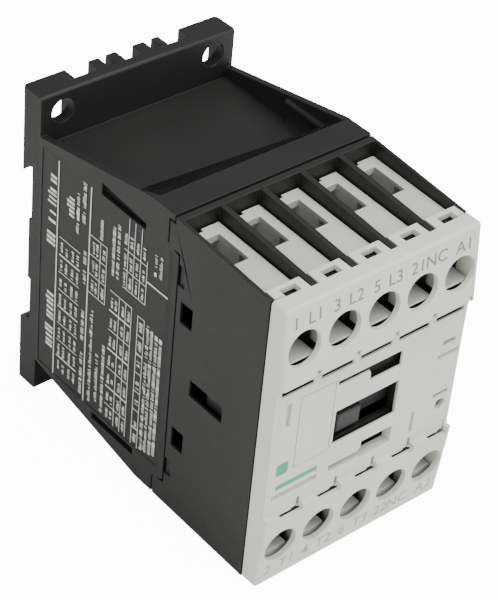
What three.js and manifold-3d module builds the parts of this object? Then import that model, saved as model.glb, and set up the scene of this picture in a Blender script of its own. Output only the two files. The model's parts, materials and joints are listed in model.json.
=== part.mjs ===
// Compact three-pole magnetic motor starter (DIN-rail contactor) with one auxiliary pole and a coil pole.
// Millimetres. X runs to the right seen from the front, Y runs from the front to the wall, Z points up.
// Depths (Y) are measured from the foremost edge of the cover, heights (Z) from the foot of the flange.
import * as THREE from "three";
import { mergeVertices } from "three/addons/utils/BufferGeometryUtils.js";
import Module from "manifold-3d";

const wasm = await Module();
wasm.setup();

// ---------------------------------------------------------------- driving dimensions

// Whole device
const PITCH = 9; // distance between neighbouring poles
const POLES = 5; // three main poles, one auxiliary pole, one coil pole
const DEPTH = 75; // foremost edge to the wall
const HEIGHT = 68; // height of the fixing flange
const CLEAR = 0.3; // gap between pieces that are mounted against each other
const RUN = 0.15; // gap beside pieces that slide

// Front cover
const COVER_FOOT = 0.7; // lower edge of the cover
const COVER_TOP = 64.1; // upper edge of the cover
const COVER_WALL = 1.2; // thickness of its face
const COVER_DEPTH = 5.1; // how far its side strips reach back
const FACE_LEAN = 1.5; // how far the face leans back at its upper and lower edge
const MIDDLE_SET = 1.4; // how far the middle zone is set back
const MIDDLE_LOW = -14.5; // lower and upper edge of the middle zone, from the centre line
const MIDDLE_HIGH = 15.4;
const SIDE_WALL = 0.7; // side walls of the cover and of the contact housing
const TAB_DEPTH = 7.8; // how far the tabs over the terminals reach back
const DRIVER_HOLE_R = 3.65; // screwdriver holes in the cover

// Window and slots of the middle zone
const WINDOW_HALF = 7.5; // half width of the window over the carrier
const WINDOW_LOW = -4.6; // window, heights from the centre line
const WINDOW_HIGH = 3.1;
const CATCH_LOW = -11.5; // stepped slot below the window
const CATCH_HIGH = -7.7;
const CATCH_DEPTH = 2.2; // how thick the rim round it is
const LIP = 0.5; // thickness of the cover round its black openings
const PLATE_LEFT = -16.6; // marking plate at the left of the window
const PLATE_RIGHT = -8.4;
const PLATE_LOW = -5.35;
const PLATE_HIGH = 10.7;
const PLATE_T = 0.6;

// Contact housing
const RIB = 1.2; // partition between neighbouring terminals
const RIB_FRONT = 4.9; // where the partitions begin
const HOUSING_FRONT = 5.4;
const SEAM = 28.6; // back edge of its side walls
const SEAM_STEP = 31.7; // back edge of the stepped corners
const SEAM_TOP = 30.2; // back edge at the very top
const STEP_LOW = [4.9, 6.1]; // heights of the stepped corners: outer and inner end of the slope
const STEP_HIGH = [59.9, 58.7];
const STEP_TOP = 64.3;
const SHOULDER = 65.8; // height of the side wall at the seam
const FLOOR_H = 17.8; // floors of the terminal chambers, from the centre line
const FLOOR_T = 1.2;
const APRON_T = 1.2; // black front wall behind the cover's middle zone
const NOSE = 1.6; // height of the bars that the cover's tabs snap over
const NICHE = 0.45; // depth of the niches at the seam

// Base housing
const FLANGE_T = 5.8;
const BASE_WALL = 1.5;
const BASE_FOOT = 1.3; // lower edge of the lower bar
const SILL_TOP = 66.1; // bar behind the terminal chambers
const SILL_BACK = 36.5;
const KNEE_DEPTH = 40.5; // where the side wall's edge starts to slope
const KNEE_TOP = 65.4;
const HEEL_TOP = 59.8; // side wall at the flange
const TRAY_FLOOR = 57.8; // open trays behind the sills
const TRAY_WALL = 1.5;
const FIX_HOLE_R = 2.5; // fixing holes
const FIX_SIDE = 5; // from the flange's side edges to the holes
const FIX_EDGE = 4.2; // from its upper and lower edge to the holes
const RELIEF_DEPTH = 3.2; // bays in the back of the flange's upper and lower edge
const HOLE_WEB = 2.4; // thickness of the flange round the fixing holes

// Rail seat, for a 35 mm top-hat rail
const RAIL = 35;
const RAIL_PLAY = 0.4;
const RAIL_FOOT = 16.4; // lower edge of the seat
const SEAT_DEPTH = 3.5;
const HOOK_UNDERCUT = 1.3;
const HOOK_DROP = 2.6;
const PAD_T = 0.8;

// Terminals
const ROW = 22.6; // screw rows, from the centre line
const SCREW_D = 3.5;
const HEAD_D = 5.6;
const HEAD_H = 2.5;
const HEAD_FRONT = 5.6;
const BAR_FRONT = 16.2; // front face of the current bars
const BAR_T = 1.2;
const BAR_HALF = 1.8;
const CAGE_T = 0.8; // side arms of the clamp cage
const CAGE_NUT_T = 1.5; // threaded front bar of the cage
const CAGE_BACK_T = 1.0;
const CAGE_H = 4.8;
const WIRE_GAP = 7.4; // room for the wire behind the bar, cage fully open
const INSERT_FRONT = 3.0; // front face in the lower row
const INSERT_BACK = 28.5;
const INSERT_TOP = 29.6; // front height of an insert, from the centre line
const INSERT_RISE = 0.7; // how much higher its back edge is
const ENTRY_LEFT = -2.9; // wire entry, from the pole's centre
const ENTRY_RIGHT = 1.5;

// Contact system
const MID_Z = 32.4; // centre line of carrier, magnet and window
const STROKE = 4; // travel of carrier and armature
const CONTACT_GAP = 3.3; // open gap of a working contact
const TIP_Z = 8.5; // contact tips, from the centre line
const TIP_HALF = 1.4;
const TIP_T = 0.9;
const BRIDGE_HALF = 1.9;
const BRIDGE_LEN = 10.4; // half length of a bridge
const BRIDGE_T = 1;
const CARRIER_HALF_Z = 3.7;
const CARRIER_WALL = 0.8;
const CARRIER_BACK = 20.5;
const SPRING_ROOM = 4.8; // room for a contact spring

// Magnet
const STACK_HALF = 6; // half thickness of the laminations
const LEG_OUT = 17.4; // outer face of the outer legs, from the centre line
const LEG_IN = 13.6;
const LEG_MID = 4.6;
const YOKE = 5;
const ARMATURE_FRONT = 24.2;
const LEG_TIP = 44.7; // ends of the armature's legs at rest
const BOBBIN_FRONT = 39;
const BOBBIN_FLANGE = 1.2;
const BOBBIN_WALL = 0.8;
const BOBBIN_ROOM = 2.4; // between the bobbin's flanges and the side walls
const BOBBIN_HALF_Z = 13.3;
const WINDING_T = 5.8;

// ---------------------------------------------------------------- places worked out from them

const HALF_W = (PITCH * POLES) / 2;
const FACE_UP = MID_Z + MIDDLE_HIGH;
const FACE_LOW = MID_Z + MIDDLE_LOW;
const APRON_FRONT = MIDDLE_SET + COVER_WALL + CLEAR;
const NOSE_TOP = COVER_TOP - MID_Z - COVER_WALL - CLEAR; // heights of the snap bars, from the centre line
const NOSE_LOW = NOSE_TOP - NOSE;
const NOSE_BACK = TAB_DEPTH - 0.4;
const INSERT_HALF = (PITCH - RIB) / 2 - CLEAR;
const BOBBIN_HALF_X = HALF_W - BASE_WALL - BOBBIN_ROOM;
const FIX_HOLE_X = HALF_W - FIX_SIDE;
const FLANGE_FRONT = DEPTH - FLANGE_T;
const SEAT = DEPTH - SEAT_DEPTH;
const RAIL_HEAD = RAIL_FOOT + RAIL + RAIL_PLAY;
const BASE_MID = (SILL_TOP + BASE_FOOT) / 2; // the base mirrors about this height
const BAR_BACK = BAR_FRONT + BAR_T;
const CAGE_HALF = BAR_HALF + 0.1 + CAGE_T;
const CAGE_BACK = BAR_BACK + WIRE_GAP; // front face of the cage's back bar
const CAGE_FRONT = BAR_FRONT - 0.6 - CAGE_NUT_T;
const HEAD_BACK = HEAD_FRONT + HEAD_H;
const NO_TIP = BAR_FRONT - TIP_T; // face of a working contact's fixed tip
const NO_BRIDGE = NO_TIP - CONTACT_GAP - TIP_T + 0.3 - BRIDGE_T;
const NC_BAR = 9.6; // front face of the break contact's inner bar
const NC_BRIDGE = NC_BAR + BAR_T + TIP_T + CLEAR + TIP_T;
const CORE_TIP = LEG_TIP + STROKE + CLEAR;
const CORE_BACK = FLANGE_FRONT - 0.5;
const BOBBIN_BACK = CORE_BACK - YOKE - 0.6;

const POLE_NAMES = ["l1", "l2", "l3", "aux", "coil"];
const BREAK_POLE = 3;
const COIL_POLE = 4;
const poleX = (i) => (i - (POLES - 1) / 2) * PITCH;

// ---------------------------------------------------------------- finishes

const finish = (color, roughness, metalness) =>
  new THREE.MeshStandardMaterial({ color, roughness, metalness });
const BLACK = finish(0x3a3938, 0.6, 0);
const GREY = finish(0xd0cfc8, 0.55, 0);
const INSERT_GREY = finish(0xc3c4be, 0.45, 0);
const CARRIER_GREY = finish(0x4a4a4b, 0.6, 0);
const STEEL = finish(0xb9bcc0, 0.35, 0.9);
const IRON = finish(0x8b8d90, 0.5, 0.8);
const BRASS = finish(0xc9a25a, 0.35, 0.9);
const COPPER = finish(0xb86a38, 0.45, 0.7);
const SPRING = finish(0xc8cacc, 0.3, 0.9);
const LABEL = finish(0xdcdbd5, 0.5, 0);

// ---------------------------------------------------------------- solid helpers

const ROUND = 16; // sides of a round hole or head
const SLIM = 10; // sides of a screw's shank

const ALONG = {
  x: new THREE.Matrix4().makeBasis(
    new THREE.Vector3(0, 1, 0),
    new THREE.Vector3(0, 0, 1),
    new THREE.Vector3(1, 0, 0),
  ),
  y: new THREE.Matrix4().makeBasis(
    new THREE.Vector3(1, 0, 0),
    new THREE.Vector3(0, 0, 1),
    new THREE.Vector3(0, -1, 0),
  ),
  z: new THREE.Matrix4(),
};

// A closed geometry as a solid that can be joined and cut.
function toSolid(geometry) {
  const bare = new THREE.BufferGeometry();
  const source = geometry.index ? geometry.toNonIndexed() : geometry;
  bare.setAttribute("position", source.getAttribute("position"));
  const merged = mergeVertices(bare, 1e-4);
  const vertProperties = new Float32Array(merged.attributes.position.array);
  const triVerts = new Uint32Array(merged.index.array);
  return new wasm.Manifold(new wasm.Mesh({ numProp: 3, vertProperties, triVerts }));
}

const join = (first, ...rest) => rest.reduce((sum, piece) => sum.add(piece), first);
const cut = (body, ...tools) => tools.reduce((left, tool) => left.subtract(tool), body);

function box(x0, x1, y0, y1, z0, z1) {
  const geometry = new THREE.BoxGeometry(x1 - x0, y1 - y0, z1 - z0);
  geometry.translate((x0 + x1) / 2, (y0 + y1) / 2, (z0 + z1) / 2);
  return toSolid(geometry);
}

function prism(points, from, to, along) {
  const shape = new THREE.Shape(points.map(([u, v]) => new THREE.Vector2(u, v)));
  const geometry = new THREE.ExtrudeGeometry(shape, { depth: to - from, bevelEnabled: false });
  geometry.applyMatrix4(ALONG[along]);
  const start = along === "y" ? to : from;
  const shift = { x: 0, y: 0, z: 0, [along]: start };
  geometry.translate(shift.x, shift.y, shift.z);
  return toSolid(geometry);
}

const sideProfile = (points, x0, x1) => prism(points, x0, x1, "x"); // points are [y, z]

// A round rod along Y.
function rod(x, z, radius, y0, y1, sides = ROUND) {
  const geometry = new THREE.CylinderGeometry(radius, radius, y1 - y0, sides);
  geometry.translate(x, (y0 + y1) / 2, z);
  return toSolid(geometry);
}

// A coil spring whose axis runs from one point to another.
class Helix extends THREE.Curve {
  constructor(start, end, radius, turns) {
    super();
    this.start = start;
    this.axis = end.clone().sub(start);
    this.radius = radius;
    this.turns = turns;
    const up = Math.abs(this.axis.z) > Math.abs(this.axis.y) ? [0, 1, 0] : [0, 0, 1];
    this.side = new THREE.Vector3(...up).cross(this.axis).normalize();
    this.other = this.axis.clone().cross(this.side).normalize();
  }

  getPoint(t, target = new THREE.Vector3()) {
    const angle = 2 * Math.PI * this.turns * t;
    target.copy(this.start).addScaledVector(this.axis, t);
    target.addScaledVector(this.side, this.radius * Math.cos(angle));
    return target.addScaledVector(this.other, this.radius * Math.sin(angle));
  }
}

function spring(start, end, radius, turns, wire) {
  const section = new THREE.Shape();
  const sides = 5;
  for (let i = 0; i < sides; i += 1) {
    const angle = (2 * Math.PI * i) / sides;
    section[i ? "lineTo" : "moveTo"](wire * Math.cos(angle), wire * Math.sin(angle));
  }
  section.closePath();
  const extrudePath = new Helix(start, end, radius, turns);
  const steps = Math.round(turns * 10);
  return toSolid(new THREE.ExtrudeGeometry(section, { steps, extrudePath, bevelEnabled: false }));
}

const device = new THREE.Group();
device.position.y = -DEPTH / 2;

function place(name, solid, material) {
  const made = solid.getMesh();
  const geometry = new THREE.BufferGeometry();
  geometry.setAttribute("position", new THREE.BufferAttribute(new Float32Array(made.vertProperties), 3));
  geometry.setIndex(new THREE.BufferAttribute(new Uint32Array(made.triVerts), 1));
  const mesh = new THREE.Mesh(geometry, material);
  mesh.name = name;
  device.add(mesh);
}

// ---------------------------------------------------------------- terminals

// Every terminal is drawn for the upper row; the lower row is the same piece mirrored in height.
const ROWS = [
  { name: "upper", up: true, z: (offset) => MID_Z + offset },
  { name: "lower", up: false, z: (offset) => MID_Z - offset },
];

// A box whose heights are given from the centre line.
function rowBox(row, x0, x1, y0, y1, h0, h1) {
  const [low, high] = row.up ? [row.z(h0), row.z(h1)] : [row.z(h1), row.z(h0)];
  return box(x0, x1, y0, y1, low, high);
}

function rowSide(row, points, x0, x1) {
  return sideProfile(
    points.map(([y, h]) => [y, row.z(h)]),
    x0,
    x1,
  );
}

// Where an insert begins: in the upper row it follows the leaning cover.
function insertFront(row, height) {
  if (!row.up) return INSERT_FRONT;
  const rise = row.z(height) - FACE_UP - COVER_WALL;
  return COVER_WALL + CLEAR + (FACE_LEAN * rise) / (COVER_TOP - FACE_UP - 2 * COVER_WALL);
}

function terminalInsert(row, x) {
  const low = FLOOR_H + FLOOR_T + CLEAR;
  const outline = [
    [insertFront(row, low), low],
    [INSERT_BACK, low],
    [INSERT_BACK, INSERT_TOP + INSERT_RISE],
    [insertFront(row, INSERT_TOP), INSERT_TOP],
  ];
  const body = rowSide(row, outline, x - INSERT_HALF, x + INSERT_HALF);
  const cageHalf = CAGE_HALF + 0.25;
  const cageRoom = [ROW - CAGE_H / 2 - 0.4, ROW + CAGE_H / 2 + 0.4];
  const bore = HEAD_D / 2 + RUN;
  return cut(
    body,
    rowBox(row, x - bore, x + INSERT_HALF + 1, 0, HEAD_BACK + CLEAR, ROW - bore, ROW + bore),
    rowBox(row, x - PITCH, x + PITCH, HOUSING_FRONT - CLEAR, NOSE_BACK + CLEAR, NOSE_LOW - CLEAR, 2 * ROW),
    rod(x, row.z(ROW), SCREW_D / 2 + 0.4, HEAD_BACK, HEAD_BACK + 2, SLIM),
    rowBox(row, x - cageHalf, x + cageHalf, HEAD_BACK + 1, CAGE_BACK + CAGE_BACK_T + 0.8, ...cageRoom),
    rowBox(row, x + ENTRY_LEFT, x + ENTRY_RIGHT, BAR_BACK + 0.45, CAGE_BACK + 1.05, ROW + 1, INSERT_TOP + 2),
    rowBox(row, x - BAR_HALF - 0.35, x + BAR_HALF + 0.35, BAR_FRONT - 0.3, BAR_BACK + 0.3, low - 1, ROW),
    rowBox(row, x - PITCH, x - 0.4, INSERT_BACK - 0.7, INSERT_BACK + 1, INSERT_TOP - 1, 2 * INSERT_TOP),
  );
}

function terminalScrew(row, x) {
  const z = row.z(ROW);
  const head = rod(x, z, HEAD_D / 2, HEAD_FRONT, HEAD_BACK);
  const shank = rod(x, z, SCREW_D / 2, HEAD_BACK - 0.2, BAR_FRONT - CLEAR, SLIM);
  const recess = 2.1;
  const blade = 0.45;
  const depth = HEAD_FRONT + 1.4;
  return cut(
    join(head, shank),
    box(x - recess, x + recess, HEAD_FRONT - 1, depth, z - blade, z + blade),
    box(x - blade, x + blade, HEAD_FRONT - 1, depth, z - recess, z + recess),
  );
}

function clampCage(row, x) {
  const inner = CAGE_HALF - CAGE_T;
  const low = ROW - CAGE_H / 2;
  const high = ROW + CAGE_H / 2;
  return cut(
    rowBox(row, x - CAGE_HALF, x + CAGE_HALF, CAGE_FRONT, CAGE_BACK + CAGE_BACK_T, low, high),
    rowBox(row, x - inner, x + inner, CAGE_FRONT + CAGE_NUT_T, CAGE_BACK, low - 1, high + 1),
    rod(x, row.z(ROW), SCREW_D / 2 + 0.2, CAGE_FRONT - 1, CAGE_FRONT + CAGE_NUT_T + 1, SLIM),
  );
}

// A working contact: a straight bar from the clamp to the fixed tip.
function makeContact(row, x) {
  const half = BAR_HALF;
  const top = ROW + CAGE_H / 2;
  return join(
    rowBox(row, x - half, x + half, BAR_FRONT, BAR_BACK, TIP_Z - TIP_HALF - 0.6, top),
    rowBox(row, x - TIP_HALF, x + TIP_HALF, NO_TIP, BAR_FRONT + 0.1, TIP_Z - TIP_HALF, TIP_Z + TIP_HALF),
  );
}

// A break contact: the bar steps forward, so that its tip lies in front of the bridge.
function breakContact(row, x) {
  const half = BAR_HALF;
  const top = ROW + CAGE_H / 2;
  const step = FLOOR_H - 2.4;
  const inner = NC_BAR + BAR_T;
  return join(
    rowBox(row, x - half, x + half, BAR_FRONT, BAR_BACK, step, top),
    rowBox(row, x - half, x + half, NC_BAR, BAR_BACK, step, step + BAR_T),
    rowBox(row, x - half, x + half, NC_BAR, inner, TIP_Z - TIP_HALF - 0.6, step + BAR_T),
    rowBox(row, x - TIP_HALF, x + TIP_HALF, inner - 0.1, inner + TIP_T, TIP_Z - TIP_HALF, TIP_Z + TIP_HALF),
  );
}

// A coil terminal: from the clamp down through the floor and back to the bobbin's flange.
function coilTerminal(row, x) {
  const half = BAR_HALF;
  const top = ROW + CAGE_H / 2;
  const low = BOBBIN_HALF_Z + CLEAR;
  return join(
    rowBox(row, x - half, x + half, BAR_FRONT, BAR_BACK, low, top),
    rowBox(row, x - 1.5, x + 1.5, BAR_FRONT, BOBBIN_FRONT + 3, low, low + 1),
  );
}

function fixedContact(row, pole) {
  const x = poleX(pole);
  if (pole === COIL_POLE) return [`coil_terminal_${row.up ? "a1" : "a2"}`, coilTerminal(row, x)];
  const name = `fixed_contact_${row.name}_${POLE_NAMES[pole]}`;
  return [name, pole === BREAK_POLE ? breakContact(row, x) : makeContact(row, x)];
}

for (const row of ROWS) {
  for (let pole = 0; pole < POLES; pole += 1) {
    const x = poleX(pole);
    const tag = `${row.name}_${POLE_NAMES[pole]}`;
    place(`terminal_insert_${tag}`, terminalInsert(row, x), INSERT_GREY);
    place(`terminal_screw_${tag}`, terminalScrew(row, x), STEEL);
    place(`clamp_cage_${tag}`, clampCage(row, x), STEEL);
    const [name, bar] = fixedContact(row, pole);
    place(name, bar, BRASS);
  }
}

// ---------------------------------------------------------------- moving contacts and carrier

const CONTACT_POLES = [0, 1, 2, BREAK_POLE];

function bridge(pole) {
  const x = poleX(pole);
  const breaks = pole === BREAK_POLE;
  const front = breaks ? NC_BRIDGE : NO_BRIDGE;
  const back = front + BRIDGE_T;
  const tip = breaks ? [front - TIP_T, front + 0.1] : [back - 0.1, back + TIP_T - 0.3];
  const tipAt = (side) => {
    const z = MID_Z + side * TIP_Z;
    return box(x - TIP_HALF, x + TIP_HALF, ...tip, z - TIP_HALF, z + TIP_HALF);
  };
  const plate = box(x - BRIDGE_HALF, x + BRIDGE_HALF, front, back, MID_Z - BRIDGE_LEN, MID_Z + BRIDGE_LEN);
  return join(plate, tipAt(1), tipAt(-1));
}

// Where the contact spring of a pole sits: [front end, back end].
function springSpan(pole) {
  if (pole === BREAK_POLE) return [NC_BRIDGE + BRIDGE_T + 0.1, NC_BRIDGE + BRIDGE_T + 0.1 + SPRING_ROOM];
  return [NO_BRIDGE - 0.1 - SPRING_ROOM + 0.2, NO_BRIDGE - 0.1];
}

function contactSpring(pole) {
  const wire = 0.26;
  const [front, back] = springSpan(pole);
  const x = poleX(pole);
  const start = new THREE.Vector3(x, front + wire, MID_Z);
  const end = new THREE.Vector3(x, back - wire, MID_Z);
  return spring(start, end, 1.6, 4, wire);
}

// The room that a bridge and its spring need in the carrier: [front, back].
function carrierRoom(pole) {
  const [front, back] = springSpan(pole);
  if (pole === BREAK_POLE) return [NC_BRIDGE - 1.2, back + 0.15];
  return [front - 0.15, NO_BRIDGE + BRIDGE_T + 0.15];
}

function carrier() {
  const half = BRIDGE_HALF + 0.35;
  const left = poleX(0) - half - CARRIER_WALL;
  const right = poleX(BREAK_POLE) + half + CARRIER_WALL;
  const low = MID_Z - CARRIER_HALF_Z;
  const high = MID_Z + CARRIER_HALF_Z;
  const front = carrierRoom(0)[0] - CARRIER_WALL;
  const tongueFront = MIDDLE_SET + COVER_WALL;
  const body = join(
    box(left, right, front, CARRIER_BACK, low, high),
    box(-8, 8, CARRIER_BACK - 0.1, ARMATURE_FRONT - CLEAR, MID_Z - 8, MID_Z + 8),
    box(-5.9, -0.1, tongueFront, front + 0.1, MID_Z - 3.7, MID_Z + 0.7),
  );
  const rooms = CONTACT_POLES.map((pole) => {
    const x = poleX(pole);
    return box(x - half, x + half, ...carrierRoom(pole), low - 1, high + 1);
  });
  return cut(body, ...rooms);
}

for (const pole of CONTACT_POLES) {
  place(`bridge_${POLE_NAMES[pole]}`, bridge(pole), BRASS);
  place(`contact_spring_${POLE_NAMES[pole]}`, contactSpring(pole), SPRING);
}
place("contact_carrier", carrier(), CARRIER_GREY);

// ---------------------------------------------------------------- magnet

// An E-shaped lamination stack: a yoke and three legs along Y.
function laminations(yokeFront, yokeBack, legFront, legBack) {
  const leg = (low, high) => box(-STACK_HALF, STACK_HALF, legFront, legBack, MID_Z + low, MID_Z + high);
  return join(
    box(-STACK_HALF, STACK_HALF, yokeFront, yokeBack, MID_Z - LEG_OUT, MID_Z + LEG_OUT),
    leg(LEG_IN, LEG_OUT),
    leg(-LEG_MID, LEG_MID),
    leg(-LEG_OUT, -LEG_IN),
  );
}

function bobbin() {
  const boreX = STACK_HALF + 0.4;
  const boreZ = LEG_MID + 0.4;
  const tube = (grow, y0, y1) => {
    const x = boreX + grow;
    const z = boreZ + grow;
    return box(-x, x, y0, y1, MID_Z - z, MID_Z + z);
  };
  const flange = (y0) =>
    box(-BOBBIN_HALF_X, BOBBIN_HALF_X, y0, y0 + BOBBIN_FLANGE, MID_Z - BOBBIN_HALF_Z, MID_Z + BOBBIN_HALF_Z);
  return cut(
    join(
      tube(BOBBIN_WALL, BOBBIN_FRONT, BOBBIN_BACK),
      flange(BOBBIN_FRONT),
      flange(BOBBIN_BACK - BOBBIN_FLANGE),
    ),
    tube(0, BOBBIN_FRONT - 1, BOBBIN_BACK + 1),
  );
}

// The winding: a ring of copper wire with rounded corners.
function winding() {
  const ring = (grow, corner) => {
    const x = STACK_HALF + 0.4 + BOBBIN_WALL + grow;
    const z = LEG_MID + 0.4 + BOBBIN_WALL + grow;
    const corners = [
      [x, z],
      [-x, z],
      [-x, -z],
      [x, -z],
    ];
    const points = corners.flatMap(([px, pz], i) => {
      const cx = px - Math.sign(px) * corner;
      const cz = pz - Math.sign(pz) * corner;
      return [0, 1, 2, 3].map((k) => {
        const angle = ((i + k / 3) * Math.PI) / 2;
        return [cx + corner * Math.cos(angle), MID_Z + cz + corner * Math.sin(angle)];
      });
    });
    return points;
  };
  const front = BOBBIN_FRONT + BOBBIN_FLANGE + CLEAR;
  const back = BOBBIN_BACK - BOBBIN_FLANGE - CLEAR;
  return cut(prism(ring(WINDING_T, 3), front, back, "y"), prism(ring(0.2, 0.2), front - 1, back + 1, "y"));
}

place(
  "armature",
  laminations(ARMATURE_FRONT, ARMATURE_FRONT + YOKE, ARMATURE_FRONT + 0.5, LEG_TIP),
  IRON,
);
place("magnet_core", laminations(CORE_BACK - YOKE, CORE_BACK, CORE_TIP, CORE_BACK - 0.5), IRON);
place("coil_bobbin", bobbin(), CARRIER_GREY);
place("coil_winding", winding(), COPPER);
place(
  "return_spring",
  spring(
    new THREE.Vector3(0, ARMATURE_FRONT + YOKE + 0.6, MID_Z),
    new THREE.Vector3(0, BOBBIN_FRONT - 0.6, MID_Z),
    8.9,
    3,
    0.45,
  ),
  SPRING,
);

// ---------------------------------------------------------------- contact housing

// Outline of the housing's side wall, [y, z]; the lower edge is nearly level, the upper edge rises.
const HOUSING_SIDE = [
  [HOUSING_FRONT, COVER_FOOT],
  [SEAM_STEP, COVER_FOOT + 0.5],
  [SEAM_STEP, STEP_LOW[0]],
  [SEAM, STEP_LOW[1]],
  [SEAM, STEP_HIGH[1]],
  [SEAM_STEP, STEP_HIGH[0]],
  [SEAM_STEP, STEP_TOP],
  [SEAM_TOP, STEP_TOP],
  [SEAM_TOP, SHOULDER],
  [HOUSING_FRONT, COVER_TOP - 0.1],
];

function contactHousing() {
  const inner = HALF_W - SIDE_WALL;
  const walls = [-1, 1].map((side) => {
    const [x0, x1] = side < 0 ? [-HALF_W, -inner] : [inner, HALF_W];
    return sideProfile(HOUSING_SIDE, x0, x1);
  });
  const ribs = [];
  for (let i = 1; i < POLES; i += 1) {
    const x = poleX(i) - PITCH / 2;
    const upper = [
      [RIB_FRONT, MID_Z + FLOOR_H],
      [SEAM_TOP, MID_Z + FLOOR_H],
      [SEAM_TOP, SHOULDER],
      [RIB_FRONT, COVER_TOP - 0.1],
    ];
    const lower = [
      [RIB_FRONT, MID_Z - FLOOR_H],
      [RIB_FRONT, COVER_FOOT],
      [SEAM_TOP, COVER_FOOT + 0.4],
      [SEAM_TOP, MID_Z - FLOOR_H],
    ];
    ribs.push(sideProfile(upper, x - RIB / 2, x + RIB / 2));
    ribs.push(sideProfile(lower, x - RIB / 2, x + RIB / 2));
  }
  const shells = ROWS.flatMap((row) => {
    const edge = row.up ? SHOULDER - MID_Z - 0.2 : MID_Z - COVER_FOOT - 0.5;
    const narrow = HALF_W - BASE_WALL - CLEAR;
    return [
      rowBox(row, -inner - 0.1, inner + 0.1, HOUSING_FRONT, SEAM - 0.2, FLOOR_H, FLOOR_H + FLOOR_T),
      rowBox(row, -narrow, narrow, SEAM - 0.5, SEAM_TOP, FLOOR_H, FLOOR_H + FLOOR_T),
      rowBox(row, -narrow, narrow, INSERT_BACK + CLEAR, SEAM_TOP, FLOOR_H, edge),
      rowBox(row, -inner - 0.1, inner + 0.1, INSERT_BACK + CLEAR, SEAM_TOP, 27.6, edge),
      rowBox(row, -inner - 0.1, inner + 0.1, HOUSING_FRONT, NOSE_BACK, NOSE_LOW, NOSE_TOP),
    ];
  });
  const slots = ROWS.flatMap((row) =>
    POLE_NAMES.map((_, pole) => {
      const x = poleX(pole);
      const half = BAR_HALF + 0.4;
      return rowBox(row, x - half, x + half, BAR_FRONT - 0.4, BAR_BACK + 0.4, FLOOR_H - 1, 2 * FLOOR_H);
    }),
  );
  return cut(join(...walls, ...shells, ...ribs, apron()), ...slots, ...sideWindows());
}

// The housing's front wall behind the cover, open at the window and round the web of the slot below it.
function apron() {
  const half = HALF_W - SIDE_WALL - CLEAR;
  const back = APRON_FRONT + APRON_T;
  const reach = FLOOR_H + FLOOR_T;
  const wall = box(-half, half, APRON_FRONT, back, MID_Z - reach, MID_Z + reach);
  const seam = SEAM - 0.2;
  const floors = ROWS.map((row) => rowBox(row, -half, half, APRON_FRONT, seam, FLOOR_H, reach));
  const [left, right, low, high] = catchWeb(CLEAR);
  const side = WINDOW_HALF + 0.4;
  return cut(
    join(wall, ...floors),
    box(left, right, 0, back + 1, low, high),
    box(-side, side, 0, back + 1, MID_Z + WINDOW_LOW - 0.4, MID_Z + WINDOW_HIGH + 0.4),
  );
}

// Rectangular windows in both side walls and niches at the seam: [front, back, low, high, depth], heights
// from the centre line.
function sideWindows() {
  const windows = [
    [24.5, 27.4, 12.1, 16.6, SIDE_WALL + 0.1],
    [14.7, 23.7, -2.0, 1.5, SIDE_WALL + 0.1],
    [24.3, 27.4, -16.6, -12.2, SIDE_WALL + 0.1],
    [27.0, SEAM + 1, 19.8, 24.2, NICHE],
    [27.0, SEAM + 1, -24.5, -20.3, NICHE],
  ];
  return windows.flatMap(([front, back, low, high, depth]) => [
    box(-HALF_W - 1, -HALF_W + depth, front, back, MID_Z + low, MID_Z + high),
    box(HALF_W - depth, HALF_W + 1, front, back, MID_Z + low, MID_Z + high),
  ]);
}

place("contact_housing", contactHousing(), BLACK);

// ---------------------------------------------------------------- base housing

const mirrorBase = ([y, z]) => [y, 2 * BASE_MID - z];

// Outline of the base's side wall above the seam's corner, from front to back.
const BASE_UPPER = [
  [SEAM_STEP + CLEAR, SILL_TOP],
  [SILL_BACK, SILL_TOP],
  [KNEE_DEPTH, KNEE_TOP],
  [FLANGE_FRONT + 0.5, HEEL_TOP],
];

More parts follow.
